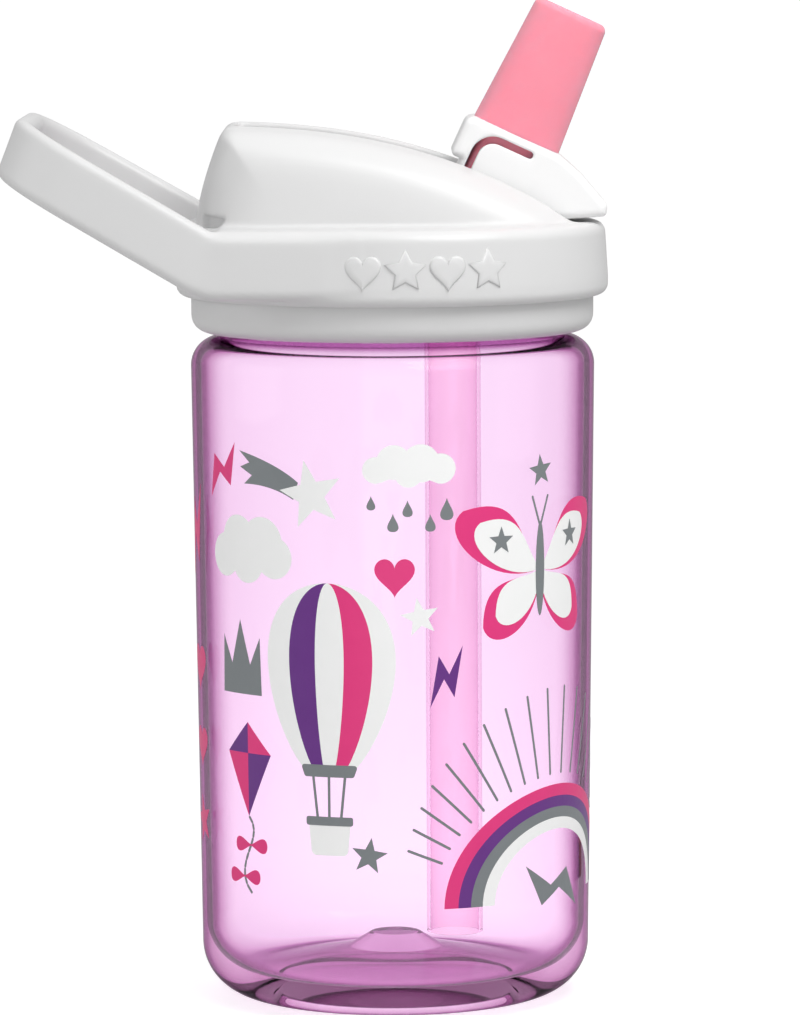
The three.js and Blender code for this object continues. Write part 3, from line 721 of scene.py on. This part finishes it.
def finger_strap(x, y, z):
    """The finger loop's strap, from inside the band round the back."""
    flat_x, flat_z = unbend(x, z)
    half_root, half_rear = loop_half_width(2 * LOOP_ROOT), loop_half_width(LOOP_REAR)
    outside = rounded([
        (0.0, -half_root),
        (0.0, half_root),
        (2 * LOOP_ROOT, half_root),
        (LOOP_REAR, half_rear, LOOP_CORNER),
        (LOOP_REAR, -half_rear, LOOP_CORNER),
        (2 * LOOP_ROOT, -half_root),
    ], 0.01)
    flush = band_draft(z) * np.clip(1 - x / LOOP_BEND, 0, 1)
    section = np.abs(polygon(flat_x, y, outside) + flush + LOOP_HALF) - LOOP_HALF
    section = within(section, flat_x - LOOP_ROOT)
    return prism(section, slab(flat_z, LOOP_LOWER, LOOP_UPPER), LOOP_EDGE)


def crown_side(x, z):
    """The dome's side view, carried far down."""
    start, end = (DOME_REAR, DOME_FOOT), (DOME_FRONT, DOME_FOOT)
    rear_top, crown = (-31.1, 156.4), (-27.4, 158.7)
    rear_pull, corner_pull, front_pulls = (-33.7, 150), (-30.3, 158.8), [(-9, 158.2), (12, 155.2)]
    outline = [
        (DOME_REAR, 0),
        start,
        *bezier(start, rear_pull, rear_top),
        *bezier(rear_top, corner_pull, crown),
        *bezier(crown, *front_pulls, end, steps=24),
        (DOME_FRONT, 0),
    ]
    return polygon(x, z, outline)


def dome_plan(x, y):
    """The dome seen from above."""
    spare_x, spare_y, points = 0.75, 0.6, 96
    middle, reach = (DOME_FRONT + DOME_REAR) / 2, (DOME_FRONT - DOME_REAR) / 2 + spare_x
    half, power = DOME_HALF + spare_y, 2 / DOME_SQUARE
    angles = np.arange(points) * TURN / points
    outline = [
        (middle + reach * np.sign(a) * abs(a) ** power, half * np.sign(b) * abs(b) ** power)
        for a, b in zip(np.cos(angles), np.sin(angles))
    ]
    return polygon(x, y, outline)


def dome(x, y, z, floor, inset=0.0):
    """The dome, or its hollow if it is inset, from a floor up."""
    profile = common(crown_side(x, z) + inset, np.abs(y) - DOME_HALF + inset, DOME_ROUND)
    return within(common(profile, dome_plan(x, y) + inset, DOME_EDGE), floor - z)


def band_draft(z):
    """How far the band's outside leans in at a height."""
    return BAND_DRAFT * (z - BAND_BOTTOM) / (BAND_TOP - BAND_BOTTOM)


def shroud_outside(x, y, z):
    """The round band with the flat web behind it."""
    fillet, seam = 1.5, 0.3
    ring = np.hypot(x, y) - BAND_RADIUS + band_draft(z)
    band = prism(ring, slab(z, BAND_BOTTOM, BAND_TOP), BAND_EDGE)
    web = join(ring, web_plan(x, y) + band_draft(z), fillet)
    web = prism(web, slab(z, LOOP_LOWER, BAND_TOP), BAND_EDGE)
    return join(band, web, seam)


def web_plan(x, y):
    """The web behind the band seen from above."""
    inward, front = 0.4, BAND_RADIUS * cos(LOOP_LEAVES)
    half_front, half_rear = loop_half_width(front) - inward, loop_half_width(WEB_REAR) - inward
    return polygon(x, y, [
        (front, -half_front), (front, half_front), (WEB_REAR, half_rear), (WEB_REAR, -half_rear)])


def spout_slot(x, y, z):
    """The slot in the dome that the folded spout lies in, open at its front."""
    edge, opening, above = 1.2, 2, 0.1
    well = prism(np.abs(y) - SLOT_HALF, slab(x, SLOT_REAR, SLOT_FRONT), edge) + 0 * z
    mouth = within(SLOT_FRONT - opening - x, BAND_TOP + above - z, np.abs(y) - SLOT_HALF)
    return np.minimum(well, mouth)


def rear_notch(x, y, z):
    """The step at the dome's rear foot, cut less deep than the dome's wall is thick."""
    rear, front_low, front_high, half, depth = -37, -31, -29.4, 16, 1.2
    below, rise, front_rise = BAND_TOP - 0.3, 2.6, 1.5
    notch = polygon(x, z, [
        (rear, below), (rear, BAND_TOP + rise), (front_high, BAND_TOP + front_rise), (front_low, below)])
    return within(notch, half - np.abs(y), -depth - dome(x, y, z, PLATE_UNDER))


def shroud():
    """The outer half of the cap: band, dome with its slot, and finger loop, all one moulding."""
    step, rear, front, side, top, margin = 0.45, -74.0, 40.6, 40.5, 165.0, 1.2
    crisp, strap_edge, soft, softer, overlap = 0.3, 0.4, 0.8, 1.0, 0.5
    low = (rear, -side, BAND_BOTTOM - margin)
    x, y, z = grid(low, (front, side, top), step)
    radius, across = np.hypot(x, y), np.abs(y)
    barrel = within(radius - BAND_BORE, z - PLATE_UNDER)
    pocket = within(web_plan(x, y) + BAND_WALL, z - PLATE_UNDER, BAND_RADIUS - radius)
    body = cut(cut(shroud_outside(x, y, z), barrel), pocket, soft)
    hollow = common(dome(x, y, z, PLATE_UNDER - 2 * DOME_SHELL, DOME_SHELL), x - SLOT_FRONT, softer)
    body = cut(join(body, dome(x, y, z, PLATE_UNDER + overlap), soft), hollow, soft)
    cheek_length = slab(x, SLOT_REAR - SLOT_CHEEK, SLOT_FRONT + SLOT_CHEEK)
    cheeks = prism(across - SLOT_HALF - SLOT_CHEEK, cheek_length, softer)
    body = join(body, common(cheeks, dome(x, y, z, DECK_TOP + overlap)), soft)
    body = cut(body, spout_slot(x, y, z), softer)
    body = cut(body, rear_notch(x, y, z), crisp)
    pin_reach = np.hypot(x - HINGE_X, z - HINGE_Z) - PIN_HOLE
    body = cut(body, within(pin_reach, across - SLOT_HALF - SLOT_CHEEK - overlap), crisp)
    body = join(body, cut(finger_strap(x, y, z), barrel, strap_edge), softer)
    return dress(surface("cap_shroud_skin", body, low, step), WHITE, "cap", "white_cap", "cap_shroud")


# ---- the spout


def spout_place():
    """From the spout's own frame to the object's."""
    hinge = Matrix.Translation((HINGE_X * MM, 0, HINGE_Z * MM))
    return hinge @ Matrix.Rotation(HINGE_LEAN, 4, "Y")


def spout_outline():
    """The spout's side view: drum, collar and forward thumb tab."""
    relief, relief_top = -7.0, 8.0
    start = pi - acos(-relief / DRUM)
    end, points = TURN + radians(20), 60
    return rounded([
        *(polar(DRUM, angle) for angle in np.linspace(start, end, points)),
        (14.6, 5.9, 2.0),
        (21.1, 9.4, 0.9),
        (20.5, 11.4, 1.2),
        (13.9, 14.5, 8.0),
        (SPOUT_FRONT, SPOUT_TOP, 0.6),
        (SPOUT_REAR, SPOUT_TOP, 1.8),
        (SPOUT_REAR, relief_top, 0.8),
        (relief, relief_top),
    ])


def flex_slit():
    """The curved slot that frees the cheek round the hinge."""
    width, x, bottom, top, end, bend = 1.3, -5.3, 5.5, 14.4, 4.6, 4.2
    blunt = width / 2.1
    return rounded([
        (x - width / 2, bottom),
        (x - width / 2, top, bend),
        (end, top, blunt),
        (end, top - width, blunt),
        (x + width / 2, top - width, bend - width),
        (x + width / 2, bottom),
    ])


def spout_skin():
    """The white flip spout with its drum, thumb tab, flex slot and moulded pins."""
    step, rear, front, side, bottom, top = 0.22, -10.2, 22.4, 12.6, -10.0, 17.2
    edge, pin_edge, soft, slit_edge, pin_root = 1.4, 0.5, 0.4, 0.5, 1
    low = (rear, -side, bottom)
    x, y, z = grid(low, (front, side, top), step)
    body = prism(polygon(x, z, spout_outline()), np.abs(y) - SPOUT_HALF, edge)
    pin_length = slab(np.abs(y), SPOUT_HALF - pin_root, PIN_REACH)
    body = join(body, prism(np.hypot(x, z) - PIN_RADIUS, pin_length, pin_edge), soft)
    pocket = squircle(x, y, POCKET_X, POCKET_Y, POCKET_SQUARE)
    body = cut(body, within(pocket, POCKET_FLOOR - z), soft)
    body = cut(body, np.hypot(x, y) - PORT_RADIUS + 0 * z, soft)
    body = cut(body, polygon(x, z, flex_slit()) + 0 * y, slit_edge)
    skin = surface("spout_skin", body, low, step, spout_place())
    # The spout takes the white plastic painted lighter: painted light.
    return dress(skin, WHITE_PAINTED_LIGHTER, "spout", "white_cap", "spout_shell")


def mouthpiece():
    """The soft bite valve: root, tapered sleeve, chamber, and a slit membrane in its tip."""
    step, rear, front, side, below, above = 0.22, -8.8, 9.8, 9.0, 0.4, 0.8
    foot_x, foot_y, taper_x, taper_y, square = 8.35, 8.0, 1.45, 1.4, 2.8
    sink, hidden, overlap, crisp, soft = 0.6, 4, 2, 0.3, 0.4
    tip = VALVE_SEAT + VALVE_LENGTH
    low = (rear, -side, POCKET_FLOOR - below)
    x, y, z = grid(low, (front, side, tip + above), step)
    share = np.clip((z - VALVE_SEAT) / VALVE_LENGTH, 0, 1)
    half_x, half_y = foot_x - taper_x * share, foot_y - taper_y * share
    across, sunk = x - VALVE_X, VALVE_SEAT - sink
    outside = squircle(across, y, half_x, half_y, square)
    body = common(prism(outside, slab(z, sunk - hidden, tip), edge=1.3), sunk - z, crisp)
    root = squircle(x, y, POCKET_X - GAP, POCKET_Y - GAP, POCKET_SQUARE)
    root = prism(root, slab(z, POCKET_FLOOR + GAP, VALVE_SEAT + overlap), edge=0.4)
    body = join(body, root, soft)
    dish_floor, membrane, chamber_floor, bore_top, bore_radius = tip - 2.4, 1.4, 20.0, 21.0, 3.0
    inner = squircle(across, y, half_x - VALVE_WALL, half_y - VALVE_WALL, square)
    chamber = prism(inner, slab(z, chamber_floor, dish_floor - membrane), edge=1.2)
    bore = within(np.hypot(x, y) - bore_radius, z - bore_top)
    hollow = join(chamber, bore, soft=1.0)
    body = cut(cut(body, hollow, crisp), within(inner, dish_floor - z), soft=0.8)
    slit_x, slit_y, slit_depth = 0.45, 3.5, 3
    slit = within(np.abs(across) - slit_x, np.abs(y) - slit_y, dish_floor - slit_depth - z)
    body = cut(body, slit, crisp)
    valve = surface("mouthpiece", body, low, step, spout_place())
    return dress(valve, PINK_SILICONE, "spout", "pink_silicone", "bite_valve")


# ---- the printed artwork

STROKE = 0.5  # width of a printed line


def star(size, points=5, waist=0.42, turn=0.0):
    """A star's outline about its centre."""
    outline = []
    for i in range(2 * points):
        reach = size if i % 2 == 0 else size * waist
        angle = radians(90 + turn) + i * pi / points
        outline.append(polar(reach, angle))
    return outline


def ellipse(width, height, points=40):
    """An ellipse about its centre."""
    angles = np.arange(points) * TURN / points
    return [(width / 2 * cos(a), height / 2 * sin(a)) for a in angles]


def heart(size, points=48):
    """A heart, size wide and high."""
    outline = []
    for t in np.arange(points) * TURN / points:
        x = 16 * sin(t) ** 3
        y = 13 * cos(t) - 5 * cos(2 * t) - 2 * cos(3 * t) - cos(4 * t)
        outline.append((x * size / 32, y * size / 30))
    return outline


def bolt(width, height, turn=0.0):
    """A lightning bolt of two wedges that meet across a step."""
    shape = [(-0.5, -0.5), (-0.24, 0.34), (0.08, 0.04), (0.5, 0.5), (0.24, -0.34), (-0.08, -0.04)]
    return turned_by([(x * width, y * height) for x, y in shape], turn)


def turned_by(outline, turn):
    """The outline turned about (0, 0)."""
    c, s = cos(radians(turn)), sin(radians(turn))
    return [(c * x - s * y, s * x + c * y) for x, y in outline]


def flipped(outline):
    """The outline seen in a mirror, still running the same way round."""
    return [(-x, y) for x, y in reversed(outline)]


def moved(outline, x, y):
    """The outline shifted by x and y."""
    return [(px + x, py + y) for px, py in outline]


def drop(height):
    """A water drop, with its point up."""
    point, low = (0, height / 2), (0, -height / 2)
    wide = 0.42 * height
    right = bezier(point, (0.1 * height, 0.1 * height), (wide, -0.1 * height), (wide, -height / 2), low)
    left = [(-x, y) for x, y in reversed(right[:-1])]
    return [point, *right, *left]


def trapezium(bottom, top, half_height, low_edge, high_edge):
    """An upright outline with rounded corners, from its half widths at the bottom and top."""
    return rounded([
        (-bottom, -half_height, low_edge), (bottom, -half_height, low_edge),
        (top, half_height, high_edge), (-top, half_height, high_edge)])


def bar(length, width, turn=0.0, x=0.0, y=0.0):
    """A straight stroke with round ends, from (x, y) outwards at an angle."""
    half, end = width / 2, width / 2 * 0.99
    outline = rounded([(0, -half, end), (length, -half, end), (length, half, end), (0, half, end)])
    return moved(turned_by(outline, turn), x, y)


def arch(outer, inner, squash, points=64):
    """Half a squashed ring, standing on its two feet."""
    angles = np.linspace(0, pi, points)
    ring = [polar(outer, a) for a in angles] + [polar(inner, a) for a in reversed(angles)]
    return [(x, squash * y) for x, y in ring]


def cloud(lobes, points=120):
    """The outline round a cloud's round lobes, each (x, y, radius), all seen from its middle."""
    outline = []
    for angle in np.arange(points) * TURN / points:
        c, s = cos(angle), sin(angle)
        reach = 0
        for x, y, radius in lobes:
            off = c * y - s * x
            if abs(off) < radius:
                reach = max(reach, c * x + s * y + sqrt(radius * radius - off * off))
        outline.append((reach * c, reach * s))
    return outline


def balloon_gore(left, right, width, height):
    """A strip of a hot-air balloon between two shares of its half width, -1 to 1."""
    mouth, points, taper, widest = 0.93, 36, 0.42, 0.415

    def edge(share):
        """One side of the strip, from the top to the balloon's mouth."""
        line = []
        for t in mouth * np.linspace(0, 1, points) ** 2:
            reach = sqrt(t * (1 - t)) * (1 - taper * t) / widest
            line.append((share * reach * width / 2, height * (0.5 - t)))
        return line

    return edge(left) + list(reversed(edge(right)[1:]))


def wing(length, width, turn):
    """A butterfly's wing: a rounded drop that leaves its root at an angle."""
    tip = (length, 0)
    rising = [(0.35 * length, 0.1 * width), (0.6 * length, 0.75 * width)]
    falling = [(length * 1.12, -0.5 * width), (0.4 * length, -0.75 * width)]
    upper = bezier((0, 0), *rising, tip, steps=20)
    lower = bezier(tip, *falling, (0, 0), steps=20)
    return turned_by([(0, 0), *upper, *lower[:-1]], turn)


def print_on(body, outline, angle, height, lift, mirrored=False):
    """Adds an outline to a decal's mesh, wrapped round the bottle's side as a thin closed coat."""
    coat, longest = 0.03, 1.0
    flat = bmesh.new()
    side = -1 if mirrored else 1
    corners = [flat.verts.new((side * x, y, 0)) for x, y in outline]
    flat.faces.new(corners)
    flat.normal_update()
    bmesh.ops.triangulate(flat, faces=flat.faces)
    xs = [v.co.x for v in flat.verts]
    for x in np.arange(min(xs) + longest / 2, max(xs), longest):
        everything = flat.verts[:] + flat.edges[:] + flat.faces[:]
        bmesh.ops.bisect_plane(flat, geom=everything, plane_co=(x, 0, 0), plane_no=(1, 0, 0))
    made = bmesh.ops.extrude_face_region(flat, geom=flat.faces[:])
    raised = {v for v in made["geom"] if isinstance(v, bmesh.types.BMVert)}
    for v in flat.verts:
        z = height + v.co.y
        reach = side_radius(z) + lift + (coat if v in raised else 0)
        around = radians(angle) + v.co.x / side_radius(z)
        v.co = (reach * sin(around) * MM, -reach * cos(around) * MM, z * MM)
    bmesh.ops.recalc_face_normals(flat, faces=flat.faces)
    scratch = bpy.data.meshes.new("scratch")
    flat.to_mesh(scratch)
    flat.free()
    body.from_mesh(scratch)
    bpy.data.meshes.remove(scratch)


def decal(name, colour, outlines, angle, height, layer=0, mirrored=False):
    """A printed shape at an angle round the bottle, from the front towards +X, and a height."""
    off_shell, between_layers = 0.01, 0.04
    body = bmesh.new()
    for outline in outlines:
        print_on(body, outline, angle, height, off_shell + between_layers * layer, mirrored)
    mesh = bpy.data.meshes.new(f"print_{name}")
    body.to_mesh(mesh)
    body.free()
    return dress(placed(mesh.name, mesh), INKS[colour], "bottle", "clear_shell")


def print_sky():
    """The plain icons that are scattered over the side."""
    tail = [(0, 1.1), *bezier((0, 1.1), (-4.5, 4.6), (-13.4, 6.2)), (-10.8, 4.2), (-13.2, 3.3), (-10.2, 1.9),
            (-12.2, 0.3), *bezier((-12.2, 0.3), (-5.5, 0.6), (-1.0, -2.0))]
    puffs = [(-6.2, -1.4, 3.9), (-2.4, 1.6, 4.4), (3.6, 1.4, 4.6), (6.4, -1.2, 3.8), (0, -2.2, 3.9)]
    mist = [(-5.8, -0.6, 2.4), (-2.6, 0.8, 3.1), (2.2, 0.6, 3.4), (5.8, -0.4, 2.7), (0, -1.2, 2.5)]
    drops = [(-6.2, 93.4, 2.6), (-0.1, 89.9, 3.3), (4.0, 92.4, 3.0), (10.4, 89.8, 3.1), (15.1, 92.2, 4.0)]
    crown = [(-5.3, -6), (5.3, -6), (5.0, 4.4), (2.5, -0.6), (0, 7.4), (-2.5, -0.6), (-5.0, 4.4)]
    icons = [  # name, ink, outline, angle, height and, for a second coat, its layer
        ("bolt_pink", "magenta", bolt(9.5, 9.0, 8), -57, 98),
        ("bolt_purple", "purple", bolt(6.0, 11.0, 0), 15, 62.3),
        ("bolt_grey", "grey", flipped(bolt(16.0, 9.0)), 54, 22.5),
        ("star_small_1", "white", star(3.6, turn=10), 7.4, 73),
        ("star_small_2", "grey", star(3.0, turn=6), 46.2, 98),
        ("star_small_3", "grey", star(3.4, turn=-8), -7.4, 30.3),
        ("heart", "magenta", heart(7.2), 0.3, 80.6),
        ("heart_left_1", "magenta", heart(8.5), -78, 61.5),
        ("heart_left_2", "magenta", heart(7.5), -77, 47),
        ("star_left", "magenta", star(4.6, turn=12), -77, 33),
        ("bolt_left", "magenta", bolt(8.0, 17.0, 0), -79, 86),
        ("comet_tail", "grey", tail, -27.5, 95.6),
        ("comet_star", "white", star(6.3, turn=12), -23.6, 94.6, 1),
        ("cloud", "white", cloud(puffs), -46, 84.2),
        ("rain_cloud", "white", cloud(mist), 4.3, 99.8),
        *((f"drop_{i}", "grey", drop(size), *where) for i, (*where, size) in enumerate(drops)),
        ("crown", "grey", crown, -49.5, 64.0),
    ]
    for name, colour, outline, *place in icons:
        decal(name, colour, [outline], *place)


def print_rainbow():
    """The rainbow low on the right, with rays fanned round it."""
    angle, foot, squash = 54.0, 20.6, 0.83
    edges = [24.6, 22.0, 19.6, 17.3, 14.8]
    for colour, outer, inner in zip(("magenta", "purple", "grey", "white"), edges, edges[1:]):
        decal(f"rainbow_{colour}", colour, [arch(outer, inner, squash)], angle, foot)
    start, spacing, count, shortest, growth = 26.8, 7.2, 20, 5.5, 10.5
    rays = []
    for i in range(count):
        turn = radians(90 + spacing * ((count - 1) / 2 - i))
        length = shortest + growth * sin(turn) ** 2
        x, y = polar(start, turn)
        rays.append(bar(length, STROKE, degrees(turn), x, squash * y))
    decal("rays", "grey", rays, angle, foot)


def print_balloon():
    """A hot-air balloon with striped gores and a basket."""
    angle, middle, width, height = -19.0, 61.0, 25.0, 36.0
    stripes = [("white", -1, -0.62), ("purple", -0.62, -0.2), ("white", -0.2, 0.24),
               ("magenta", 0.24, 0.66), ("white", 0.66, 1)]
    for i, (colour, left, right) in enumerate(stripes):
        decal(f"balloon_gore_{i}", colour, [balloon_gore(left, right, width, height)], angle, middle)
    belt = trapezium(4.6, 5.4, 1.1, 0.5, 0.5)
    decal("balloon_belt", "grey", [belt], angle, middle - 15.6, layer=1)
    ropes = [bar(8.0, STROKE, -90 - lean, x, 0) for x, lean in ((-3.0, -6), (0, 0), (3.0, 6))]
    decal("balloon_ropes", "grey", ropes, angle, middle - 16.5)
    basket = trapezium(3.4, 4.0, 3.2, 1.0, 0.4)
    decal("balloon_basket", "white", [basket], angle, middle - 27.6)
    rim = trapezium(4.4, 4.4, 0.8, 0.4, 0.4)
    decal("balloon_basket_rim", "grey", [rim], angle, middle - 24.6, layer=1)


def print_kite():
    """A kite low on the left, whose string carries two bows."""
    angle, middle = -47.0, 45.0
    top, cross, bottom, left, right = (0, 8.0), (0, 2.4), (0, -9.0), (-5.6, 2.4), (5.6, 2.4)
    quarters = [
        ("purple", [top, left, cross]), ("magenta", [top, cross, right]),
        ("magenta", [left, bottom, cross]), ("purple", [cross, bottom, right]),
    ]
    for i, (colour, outline) in enumerate(quarters):
        decal(f"kite_{i}", colour, [outline], angle, middle)
    knots = bezier(bottom, (4.5, -13), (-5.5, -18), (0.5, -23), steps=10)
    string = [bottom, *knots]
    strands = []
    for (ax, ay), (bx, by) in zip(string, string[1:]):
        turn = degrees(atan2(by - ay, bx - ax))
        strands.append(bar(hypot(bx - ax, by - ay), STROKE, turn, ax, ay))
    decal("kite_string", "grey", strands, angle, middle)
    bows = [
        moved(turned_by(drop(4.4), turn), x + aside, y)
        for x, y in (knots[3], knots[7])
        for turn, aside in ((-90, -1.9), (90, 1.9))
    ]
    decal("kite_bows", "magenta", bows, angle, middle, layer=1)


def print_butterfly():
    """A butterfly on the right, high up."""
    angle, middle = 46.0, 80.5
    wings = [(20.0, 12.5, 34), (16.0, 11.0, -38)]  # length, width, turn
    for side, mirror in (("left", True), ("right", False)):
        for i, (length, width, turn) in enumerate(wings):
            rim, panel = wing(length, width, turn), wing(0.8 * length, 0.78 * width, turn)
            decal(f"wing_{side}_{i}", "magenta", [rim], angle, middle, 0, mirror)
            decal(f"wing_panel_{side}_{i}", "white", [panel], angle, middle, 1, mirror)
    decal("butterfly_body", "grey", [ellipse(2.2, 17.0)], angle, middle, layer=2)
    feelers = [bar(6.0, 0.45, turn, 0, 7.5) for turn in (70, 110)]
    decal("butterfly_feelers", "grey", feelers, angle, middle, layer=1)
    spots = [moved(star(2.6), x, y) for x, y in ((-9.0, 5.5), (9.0, 5.5))]
    decal("butterfly_stars", "grey", spots, angle, middle, layer=2)


def band_motif():
    """A raised row of stars and hearts on the near side of the band."""
    count, spacing, middle, height = 4, 7.6, 6.2, 134.4
    points, faces = [], []
    for i in range(count):
        shape = heart(6.6) if i % 2 == 0 else star(3.9, waist=0.5)
        offset = middle + (i - (count - 1) / 2) * spacing
        emboss(points, faces, shape, offset / BAND_RADIUS, height)
    return dress(mesh_object("band_motif", points, faces), WHITE, "cap", "white_cap")


def emboss(points, faces, outline, angle, height):
    """Adds a raised shape with a bevelled edge, wrapped round the band."""
    rings = [(1.0, -0.4), (1.0, 0.25), (0.86, 0.45), (0.45, 0.45)]  # share of its size, height
    first, count = len(points), len(outline)
    for share, raised in rings:
        for x, y in outline:
            around = angle + share * x / BAND_RADIUS
            z = height + share * y
            reach = BAND_RADIUS - band_draft(z) + raised
            points.append((reach * sin(around), -reach * cos(around), z))
    for ring in range(len(rings) - 1):
        low, high = first + ring * count, first + (ring + 1) * count
        for i in range(count):
            j = (i + 1) % count
            faces.append((low + i, low + j, high + j, high + i))
    last = first + (len(rings) - 1) * count
    faces.append([last + i for i in range(count)])
    faces.append([first + count - 1 - i for i in range(count)])


# ---- the studio

PURE_WHITE = (1, 1, 1, 1)


def seen_directly(tree):
    """1 for what the camera sees straight or through clear plastic, and 0 for bounced light."""
    path = add_node(tree, "LightPath")
    either = add_node(tree, "Math")
    either.operation = "MAXIMUM"
    for socket, ray in zip(either.inputs, ("Is Camera Ray", "Is Transmission Ray")):
        tree.links.new(path.outputs[ray], socket)
    return either.outputs["Value"]


def studio_world():
    """White all round to the eye, with a softer room that lights the object from above."""
    world = bpy.data.worlds.new("studio")
    bpy.context.scene.world = world
    world.use_nodes = True
    tree = world.node_tree
    where = add_node(tree, "TexCoord").outputs["Generated"]
    up = add_node(tree, "SeparateXYZ", Vector=where).outputs["Z"]
    light = spread(tree, up, From_Min=-0.1, From_Max=0.9, To_Min=0.34, To_Max=0.82)
    room = fill(tree.nodes["Background"], Color=PURE_WHITE, Strength=light)
    backdrop = add_node(tree, "Background", Color=PURE_WHITE, Strength=1.2)
    mix = add_node(tree, "MixShader", Fac=seen_directly(tree))
    for socket, side in zip(mix.inputs[1:], (room, backdrop)):
        tree.links.new(side.outputs["Background"], socket)
    fill(tree.nodes["World Output"], Surface=mix.outputs["Shader"])


def studio_floor():
    """A plain pale floor, a hair below the object's foot."""
    reach, depth = 40.0, 0.0002
    corners = [(-reach, -reach), (reach, -reach), (reach, reach), (-reach, reach)]
    mesh = bpy.data.meshes.new("floor")
    mesh.from_pydata([(x, y, -depth) for x, y in corners], [], [range(len(corners))])
    material, tree, shader = new_material("pale_floor")
    glow = spread(tree, seen_directly(tree), To_Min=0.0, To_Max=0.62)
    fill(shader, Base_Color=(0.6, 0.6, 0.6, 1), Emission_Color=PURE_WHITE, Emission_Strength=glow,
         Roughness=1.0, Specular_IOR_Level=0.0)
    mesh.materials.append(material)
    floor = placed("floor", mesh)


def softbox(name, place, size, power, aim=(0, 0, 0.10)):
    """A square area light that faces the object; places and sizes in metres, power in watts."""
    data = bpy.data.lights.new(name, "AREA")
    data.size = size
    data.energy = power
    light = placed(name, data)
    light.location = place
    light.rotation_mode = "QUATERNION"
    light.rotation_quaternion = (Vector(aim) - Vector(place)).to_track_quat("-Z", "Y")


def camera():
    """A long lens a little above the bottle, looking down at its middle."""
    aside, away, height, look_down = 1.21 * MM, 1.1, 0.2014, 5.839
    data = bpy.data.cameras.new("camera")
    data.lens = 215.2
    data.sensor_width = 36.0
    eye = placed("camera", data)
    eye.location = (aside, -away, height)
    tilt, roll = radians(90 - look_down), radians(-0.3)
    eye.rotation_mode = "QUATERNION"
    turn = Matrix.Rotation(tilt, 3, "X") @ Matrix.Rotation(roll, 3, "Z")
    eye.rotation_quaternion = turn.to_quaternion()
    bpy.context.scene.camera = eye


camera()
studio_world()
studio_floor()
softbox("key", (0.16, -0.20, 0.42), size=0.22, power=0.95)
softbox("fill", (-0.50, -0.06, 0.20), size=0.3, power=0.35)
softbox("front", (0.0, -0.60, 0.02), size=0.4, power=0.5, aim=(0, 0, 0.05))
bpy.context.scene.view_settings.view_transform = "Standard"

bottle_shell()
straw_tube()
gasket_ring()
screw_cap()
seal_lip()
vent_duckbill()
shroud()
spout_skin()
mouthpiece()
print_sky()
print_rainbow()
print_balloon()
print_kite()
print_butterfly()
band_motif()

bpy.context.view_layer.update()
